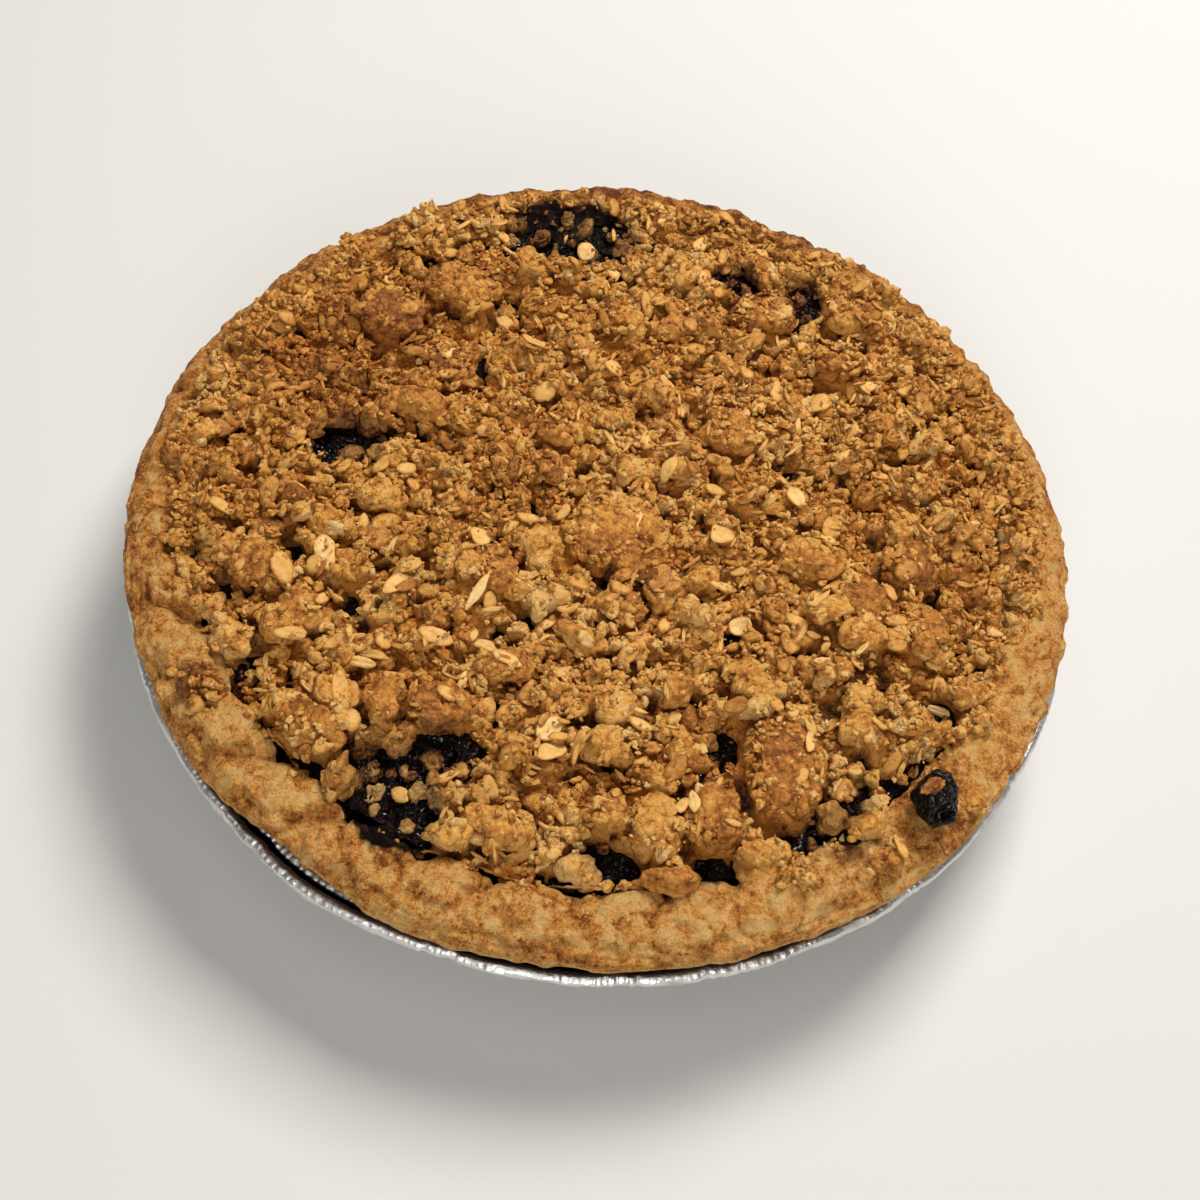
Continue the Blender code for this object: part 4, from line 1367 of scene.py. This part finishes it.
CRUMBS = Scatter(
    name="crumble_crumbs", seed=62, subdivisions=2, uneven=0.6, pebble=1.3 * MM, pebble_depth=0.5 * MM,
    lift=0.30, clear=0.15, count=2250, smallest=0.9 * MM, largest=1.9 * MM, spacing=0.42, heed=0.9,
)
BITS = Scatter(
    name="crumble_bits", seed=63, subdivisions=1, uneven=0.7, lift=0.30,
    count=9000, smallest=0.5 * MM, largest=1.2 * MM, heed=0.4,
)
GRAINS = Scatter(
    name="crumble_grains", seed=64, subdivisions=1, uneven=0.6, lift=0.35,
    count=5500, smallest=0.3 * MM, largest=0.7 * MM, heed=0.4,
)


@dataclass
class CrumbleHeap:
    """All that lies on the bed: clumps, lumps, crumbs and oats, each resting on what is below."""

    ground: HeightMap
    reach: float = 101 * MM
    crumb_limit: float = 113.5 * MM
    scatter_half: float = 116 * MM
    lump_limit: float = 100 * MM
    top: float = 54.0 * MM
    room: float = 2.2 * MM
    flake_half: float = 3.2 * MM
    pieces: list[tuple[Piece, Array]] = field(default_factory=list)

    def cover(self, x: Array, y: Array, open_share: float, heed: float = 1.0) -> Array:
        """How likely a crumb is to lie at places.

        Args:
            x: Places along x.
            y: Places along y.
            open_share: The likelihood in a bare patch.
            heed: How much it keeps off what is to stay clear.

        Returns:
            A share for each place.
        """
        out, angle = np.hypot(x, y), np.arctan2(y, x)
        # How far the crumbs spread over the rim, in millimetres: at the left, right and back
        spread = 9.5 * swell(angle, 162, 52) + 10 * swell(angle, 22, 62) + 6.5 * swell(angle, 100, 70)
        edge = self.reach + 2.2 * MM + spread * MM
        edge = edge + 1.8 * MM * swirl(flat_points(x, y), 7 * MM, 71)
        inside = rise(out, edge + 1.5 * MM, edge - 2.5 * MM)
        sparse = 0.05 * rise(spread, 1.0, 5.0) * rise(out, 116 * MM, 113 * MM)
        bare = np.maximum(rise(patch_distance(x, y), 0.86, 1.08), 0.12 * (y > 60 * MM))
        moat = ellipse_distance(x, y, GREAT_CLUMPS + LARGE_CLUMPS + CLUMPS)
        hole = (1 - gap(x, y)) * (1 - 0.8 * rise(moat, 0.9, 1.0) * rise(moat, 1.26, 1.12))
        berry = rise(distance(x, y, BERRY_PLACE), 8.0 * MM, 10.0 * MM)
        for middle_x, middle_y, half_x, half_y, _ in RIM_CRUMBS:
            away = np.hypot((x - middle_x * MM) / half_x, (y - middle_y * MM) / half_y) / MM
            sparse = np.maximum(sparse, rise(away, 1.4, 0.9))
        clear = 1 - heed * self.ground.read(self.ground.kept_clear, x, y)
        share = open_share + (1 - open_share) * bare
        return np.maximum(inside, sparse) * share * hole * berry * clear * (out < self.crumb_limit)

    def eased(self, heights: Array) -> Array:
        """Presses down smoothly what would stand over the pie's top."""
        over = np.maximum(heights - (self.top - self.room), 0)
        return np.minimum(heights, self.top - self.room) + self.room * (1 - np.exp(-over / self.room))

    def scatter(self, kind: Scatter, draw: np.random.Generator) -> Array:
        """Draws places for one size of crumb.

        Args:
            kind: The size.
            draw: The source of chance.

        Returns:
            Rows of x, y and radius.
        """
        limit = self.lump_limit if kind.subdivisions > 2 else self.reach + 14 * MM
        found = np.empty((0, 3))
        for _ in range(60):
            x, y = draw.uniform(-self.scatter_half, self.scatter_half, (2, 3 * kind.count))
            radius = kind.smallest + (kind.largest - kind.smallest) * draw.random(len(x)) ** 1.6
            kept = draw.random(len(x)) < self.cover(x, y, kind.open_share, kind.heed)
            fresh = np.stack([x, y, radius], axis=1)[kept & (np.hypot(x, y) < limit)]
            if not kind.spacing:
                found = np.vstack([found, fresh])
            else:
                for spot in fresh:
                    away = np.hypot(found[:, 0] - spot[0], found[:, 1] - spot[1])
                    if (away > kind.spacing * (found[:, 2] + spot[2])).all():
                        found = np.vstack([found, spot])
                    if len(found) >= kind.count:
                        break
            if len(found) >= kind.count:
                break
        return found[: kind.count]

    def lay(self, kind: Shape, spots: Array, halves: Array, angles: Array, turns: list[Matrix]) -> None:
        """Lets crumbs settle one after the other, and makes one piece of them.

        Args:
            kind: How they are shaped.
            spots: Their places along x and y.
            halves: Their half lengths.
            angles: How far each is turned about the vertical, in radians.
            turns: The whole of each one's turning.
        """
        heights = [
            self.ground.settle(*spot, half, angle, kind.lift, self.top, kind.clear)
            for spot, half, angle in zip(spots, halves, angles)
        ]
        centres = np.column_stack([spots, heights])
        matrices = np.array([np.array(turn) for turn in turns])
        points, faces = template(kind.subdivisions)
        number = np.arange(len(centres))
        offset = np.stack([number * 3.7, number * 1.9, number * 5.3], axis=1)[:, None, :]
        uneven = 1 + kind.uneven * swirl(points[None] + offset, 0.9, kind.seed)
        uneven += 0.5 * kind.uneven * swirl(points[None] + offset, 0.45, kind.seed + 1)
        local = points[None] * uneven[..., None] * halves[:, None, :]
        placed = np.einsum("nij,npj->npi", matrices, local) + centres[:, None, :]
        placed[..., 2] = self.eased(placed[..., 2])
        piece = joined(kind.name, placed, faces)
        if kind.pebble_depth:
            everywhere = points_of(piece)
            depth = pebbles(everywhere, kind.pebble, kind.seed + 2) - 0.6
            if kind.subdivisions > 3:
                depth += 0.5 * (pebbles(everywhere, 0.5 * kind.pebble, kind.seed + 3) - 0.6)
                depth -= 0.9 * rise(np.abs(swirl(everywhere, 1.9 * kind.pebble, kind.seed + 4)), 0.12, 0.0)
            push_out(piece, kind.pebble_depth * depth)
        else:
            bpy.ops.object.shade_flat()
        tone = np.random.default_rng(kind.seed).normal(kind.tone, 0.15, len(centres))
        self.pieces.append((piece, np.repeat(tone, len(points))))

    def add_lumps(self, kind: Scatter) -> None:
        """Scatters one size of crumb over the pie, each settling where it falls."""
        draw = np.random.default_rng(kind.seed)
        spots = self.scatter(kind, draw)
        halves = spots[:, 2:3] * draw.uniform([0.9, 0.65, 0.5], [1.5, 1.05, 0.95], (len(spots), 3))
        angles = draw.uniform(-1, 1, (len(spots), 3)) * (0.9, 0.9, math.pi)
        self.lay(kind, spots[:, :2], halves, angles[:, 2], [Euler(angle).to_matrix() for angle in angles])

    def add_clumps(self, kind: Shape, rows: list[tuple]) -> None:
        """Lays clumps from rows of x, y, half lengths and turn in degrees."""
        table = np.array(rows, float)
        angles = np.radians(table[:, 5])
        turns = [Matrix.Rotation(angle, 3, "Z") for angle in angles]
        self.lay(kind, table[:, :2] * MM, table[:, 2:5] * MM * 0.95, angles, turns)

    def flake(self, sides: int, rings: int) -> tuple[Array, Array]:
        """A flat round flake of one unit, with a thin edge.

        Args:
            sides: The number of points round it.
            rings: How many rings of faces it has between edge and middle.

        Returns:
            Its points, and its triangles as numbers of points.
        """
        disc = primitive("circle", "flake", vertices=sides, radius=1, fill_type="NGON")
        edit(disc, *[("inset", {"thickness": 0.8 / (rings + 1)})] * rings, ("poke", {}))
        modify(disc, "SOLIDIFY", thickness=0.16, offset=0)
        modify(disc, "TRIANGULATE")
        return take(disc)

    def add_oats(self, name: str, seed: int, rows: Array, sides: int = 12, rings: int = 1) -> None:
        """Lays oat flakes on the heap, leaning with what is under them.

        Args:
            name: The piece's name.
            seed: The seed of their bends.
            rows: x, y, half length, half width in metres and turn in radians of each.
            sides: The number of points round each.
            rings: How many rings of faces each has between edge and middle.
        """
        draw = np.random.default_rng(seed)
        points, faces = self.flake(sides, rings)
        slopes = self.ground.softened(1.6 * MM)
        span = 2 * self.ground.cell
        shaped = []
        for number, (x, y, long, wide, turn) in enumerate(rows):
            rises = [
                self.ground.read(slopes, x + dx, y + dy) - self.ground.read(slopes, x - dx, y - dy)
                for dx, dy in ((span, 0), (0, span))
            ]
            lean = np.clip(np.array(rises) / (2 * span), -0.7, 0.7) + draw.normal(0, 0.12, 2)
            up = Vector((-lean[0], -lean[1], 1)).normalized()
            ahead = Vector((math.cos(turn), math.sin(turn), 0))
            ahead = (ahead - up * ahead.dot(up)).normalized()
            axes = np.array([ahead, up.cross(ahead), up]).T
            half = np.array([long, wide, 0.5 * MM])
            level = self.ground.settle(x, y, half, turn, 0.8, self.top, 0.95, grip=0.85)
            local = points.copy()
            local[:, :2] *= (1 + 0.2 * swirl(local + number * 3.3, 0.7, seed))[:, None]
            bow, cup = draw.normal(-0.05, 0.12), draw.normal(-0.06, 0.09)
            groove = 0.09 * np.exp(-((local[:, 1] / 0.16) ** 2)) * (1 - local[:, 0] ** 2)
            local[:, 2] += bow * local[:, 0] ** 2 + cup * local[:, 1] ** 2 - groove
            local[:, 2] += 0.06 * swirl(local + number * 7.1, 0.5, seed + 1)
            shaped.append((local * np.array([long, wide, self.flake_half])) @ axes.T + (x, y, level))
        placed = np.array(shaped)
        placed[..., 2] = self.eased(placed[..., 2])
        piece = joined(name, placed, faces)
        tone = draw.normal(0, 0.13, len(rows))
        rim = np.hypot(points[:, 0], points[:, 1]) > 0.97
        self.pieces.append((piece, (tone[:, None] + 0.22 * rim[None]).ravel()))

    def random_oats(self, seed: int, count: int, long: Pair, wide: Pair = (0.42, 0.72)) -> Array:
        """Draws places for oats.

        Args:
            seed: The seed of the draws.
            count: How many, at the most.
            long: The least and the greatest half length, in millimetres.
            wide: The least and the greatest width, as shares of the length.

        Returns:
            x, y, half length, half width and turn of each.
        """
        draw = np.random.default_rng(seed)
        x, y = draw.uniform(-108 * MM, 108 * MM, (2, 6 * count))
        kept = draw.random(len(x)) < self.cover(x, y, 0.02)
        kept &= np.hypot(x, y) < np.where(y > 0, 110 * MM, 101 * MM)
        x, y = x[kept][:count], y[kept][:count]
        length = draw.uniform(long[0] * MM, long[1] * MM, len(x))
        width = length * draw.uniform(*wide, len(x))
        return np.column_stack([x, y, length, width, draw.uniform(0, 2 * math.pi, len(x))])

    def build(self) -> None:
        """Lays everything, from the largest to the finest."""
        strays = [
            (x, y, 0.75 * a, 0.75 * b, 0.7 * c, 40 * number)
            for number, (x, y, a, b, c) in enumerate(RIM_CRUMBS)
        ]
        strays += [(x, y, a, 0.85 * a, 0.7 * a, 60) for x, y, a in FILLING_CRUMBS]
        self.add_clumps(GREAT, GREAT_CLUMPS)
        self.add_clumps(LARGE, LARGE_CLUMPS)
        self.add_clumps(MIDDLING, CLUMPS)
        self.add_clumps(STRAY, strays)
        self.add_lumps(CHUNKS)
        self.add_lumps(LUMPS)
        self.add_oats("low_oats", 90, self.random_oats(90, 230, (2.2, 4.0)))
        self.add_lumps(CRUMBS)
        self.add_lumps(BITS)
        named = np.array(CLEAR_OATS, float) * (MM, MM, MM, MM, math.pi / 180)
        self.add_oats("clear_oats", 92, named, sides=24, rings=3)
        self.add_oats("small_oats", 91, self.random_oats(91, 130, (1.7, 3.2)))
        self.add_oats("oat_slivers", 93, self.random_oats(93, 380, (1.4, 3.0), (0.16, 0.30)), sides=8)
        self.add_lumps(GRAINS)

    def dress(self, bed: Piece) -> Material:
        """Paints how toasted and stained everything is, with painted shade in the recesses and low in the
        gaps, and hands it over.

        Args:
            bed: The crumble's body.

        Returns:
            The crumble's material.
        """
        mean = self.ground.softened(5 * MM)
        crumble, oat = CrumbleFinish().material(), OatFinish().material()
        for piece, tone in [(bed, 0.0), *self.pieces]:
            (x, y, z), facing = points_of(piece).T, points_of(piece, "normal")[:, 2]
            relief = (z - self.ground.read(mean, x, y)) / MM
            flat = flat_points(x, y)
            toast = 0.38 + 0.03 * np.clip(relief, -3.5, 3) + 0.12 * facing + 0.14 * swirl(flat, 13 * MM, 95)
            toast += 0.20 * rise(distance(x, y, BROWNER_SIDE), 50 * MM, 10 * MM)
            toast -= 0.08 * rise(y, -20 * MM, -60 * MM)
            toast += 0.30 * rise(distance(x, y, BURNT_CRUMB), 9 * MM, 4 * MM)
            is_oat = "oat" in piece.name
            toast = toast + tone + (-0.12 if piece.name == "clear_oats" else 0.09 * is_oat)
            away = patch_distance(x, y)
            soaked = np.where(y > 60 * MM, 0.55, 0.35) + 0.28 * rise(away, 1.0, 0.8)
            near = rise(away, 1.3, 0.95) * np.maximum(rise(relief, 0.8, -1.6), soaked)
            # Painted shade, as dark as jam, low in the gaps and in the deepest hollows; near the bare patches
            # the jam stain is real.
            hole = gap(x, y) * rise(relief, -0.8, -2.4)
            deep = rise(relief, -2.6, -4.0) * rise(swirl(flat, 9 * MM, 96), -0.1, 0.4)
            stain = (0.45 if is_oat else 1.0) * np.maximum(np.maximum(near, hole), deep)
            # Painted shade darkens the low places.
            paint(piece, toast=toast, recess=rise(relief, 0.3, -2.8), stain=stain)
            nodes = ("oat_crumble",) if piece is bed else ()
            hand_over(piece, Slot.CRUMBLE, oat if is_oat else crumble, *nodes)
        return crumble


@dataclass
class RimBerry:
    """The wrinkled blueberry that lies in a dent of the pastry's rim."""

    half: Triple = (6.0 * MM, 7.8 * MM, 5.2 * MM)
    crown: Triple = (0.35, -0.75, 0.55)
    crumb_place: Triple = (82.6 * MM, -69.1 * MM, 52.9 * MM)
    crumb_half: Triple = (3.5 * MM, 1.7 * MM, 1.3 * MM)
    crumb_turn: float = math.radians(40)

    def build(self) -> Piece:
        """Shapes a ball into a shrunken berry with its crown."""
        low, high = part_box("blueberry")
        centre = np.array((low + high) / 2)
        piece = primitive("ico_sphere", "wrinkled_berry", subdivisions=6, radius=1)
        ball = points_of(piece)
        shape = ball * np.array(self.half) * (0.93, 0.93, 0.84)
        fold = np.abs(swirl(ball, 0.42, 101)) * 1.3 + 0.5 * np.abs(swirl(ball, 0.2, 102))
        depth = 0.55 * MM * swirl(ball, 0.8, 103) - 0.75 * MM * (0.75 - fold)
        crown = np.array(self.crown) / np.linalg.norm(self.crown)
        near = ball @ crown
        star = 0.5 + 0.5 * np.cos(5 * np.arctan2(*np.cross(ball, crown)[:, :2].T))
        depth += 0.9 * MM * rise(near, 0.86, 0.93) * rise(near, 0.985, 0.95) * (0.4 + star)
        depth -= 1.3 * MM * rise(near, 0.95, 1.0)
        aside = (shape + centre - self.crumb_place)[:, :2] / (3.0 * MM)
        depth -= 0.7 * MM * np.exp(-(aside**2).sum(axis=1)) * (ball[:, 2] > 0)
        move_points(piece, np.clip(shape + ball * depth[:, None] + centre, tuple(low), tuple(high)))
        return smooth(piece)

    def crumb(self) -> Piece:
        """Shapes the brown crumb that is baked onto the berry's top."""
        piece = primitive("ico_sphere", "berry_crumb", subdivisions=5, radius=1)
        ball = points_of(piece)
        uneven = 0.9 + 0.35 * swirl(ball, 0.7, 104) + 0.5 * (pebbles(ball, 0.5, 105) - 0.6)
        turn = np.array(Matrix.Rotation(self.crumb_turn, 3, "Z"))
        points = ball * uneven[:, None] * np.array(self.crumb_half) @ turn.T + np.array(self.crumb_place)
        points[:, 2] = np.minimum(points[:, 2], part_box("blueberry")[1][2])
        move_points(piece, points)
        # Painted shade darkens the crumb's lower half.
        paint(piece, toast=0.70 + 0.2 * ball[:, 2], recess=0.5 - 0.5 * ball[:, 2], stain=0 * ball[:, 2])
        return smooth(piece)

    def dress(self, crumble: Material) -> None:
        """Builds the berry and its crumb, and hands them over.

        Args:
            crumble: The material of the crumb.
        """
        hand_over(self.build(), Slot.BERRY, BerryFinish().material(), "blueberry")
        hand_over(self.crumb(), Slot.CRUMBLE, crumble)


@dataclass
class Studio:
    """The pale floor, the soft lights and the camera."""

    camera_place: Triple = (0, -288.85 * MM, 443.13 * MM)
    camera_aim: Triple = (1.56 * MM, -18.97 * MM, 35 * MM)
    camera_roll: float = math.radians(8.10)
    lens: float = 58.6
    light_aim: Triple = (0, 0, 0.03)
    sky_colour: Colour = (1.0, 0.985, 0.96)
    sky_strength: float = 0.12

    def floor(self) -> None:
        """Lays the floor."""
        plane = primitive("plane", "floor", size=4)
        graph = Graph("pale_floor")
        plane.data.materials.append(graph.finish(Base_Color=(0.62, 0.61, 0.59), Roughness=0.9))

    def light(self, name: str, place: Triple, size: float, power: float, tint: Colour) -> None:
        """Hangs a soft square light that faces the pie.

        Args:
            name: The light's name.
            place: Where it hangs.
            size: The length of its side.
            power: Its power in watts.
            tint: Its colour.
        """
        lamp = bpy.data.lights.new(name, "AREA")
        lamp.size, lamp.energy, lamp.color = size, power, tint
        hung = added(name, lamp)
        hung.location = place
        hung.rotation_euler = (Vector(self.light_aim) - Vector(place)).to_track_quat("-Z", "Y").to_euler()

    def sky(self) -> None:
        """Sets the even light from all round."""
        world = bpy.data.worlds.new("studio")
        world.use_nodes = True
        sockets = world.node_tree.nodes["Background"].inputs
        sockets["Color"].default_value = (*self.sky_colour, 1)
        sockets["Strength"].default_value = self.sky_strength
        bpy.context.scene.world = world

    def camera(self) -> None:
        """Places the camera as the pie is seen."""
        lens = bpy.data.cameras.new("camera")
        lens.lens = self.lens
        eye = added("camera", lens)
        look = Vector(self.camera_aim) - Vector(self.camera_place)
        turn = look.to_track_quat("-Z", "Y").to_matrix() @ Matrix.Rotation(self.camera_roll, 3, "Z")
        eye.matrix_world = Matrix.Translation(self.camera_place) @ turn.to_4x4()
        bpy.context.scene.camera = eye

    def build(self) -> None:
        """Sets up the whole studio."""
        self.floor()
        self.sky()
        self.light("key", (0.28, 0.55, 0.98), 0.50, 15.6, (1.0, 0.97, 0.92))
        self.light("overhead", (-0.15, -0.35, 1.15), 0.9, 2.5, (1.0, 0.99, 0.97))
        self.light("front", (0.05, -1.0, 0.62), 0.5, 5.5, (1.0, 0.99, 0.97))
        self.camera()
        bpy.context.scene.view_settings.view_transform = "Standard"


def main() -> None:
    """Builds and dresses the pie, piece by piece."""
    logging.basicConfig(level=logging.INFO, format="%(message)s")
    FoilTin().dress()
    crust = PinchedCrust().dress()
    filling = FruitFilling().dress()
    bed = CrumbleBed().build()
    ground = HeightMap()
    bpy.context.view_layer.update()
    ground.survey(bed, crust, filling)
    LOG.info("surveyed")
    heap = CrumbleHeap(ground)
    heap.build()
    crumble = heap.dress(bed)
    RimBerry().dress(crumble)
    Studio().build()
    bpy.context.view_layer.update()


if __name__ == "__main__":
    main()
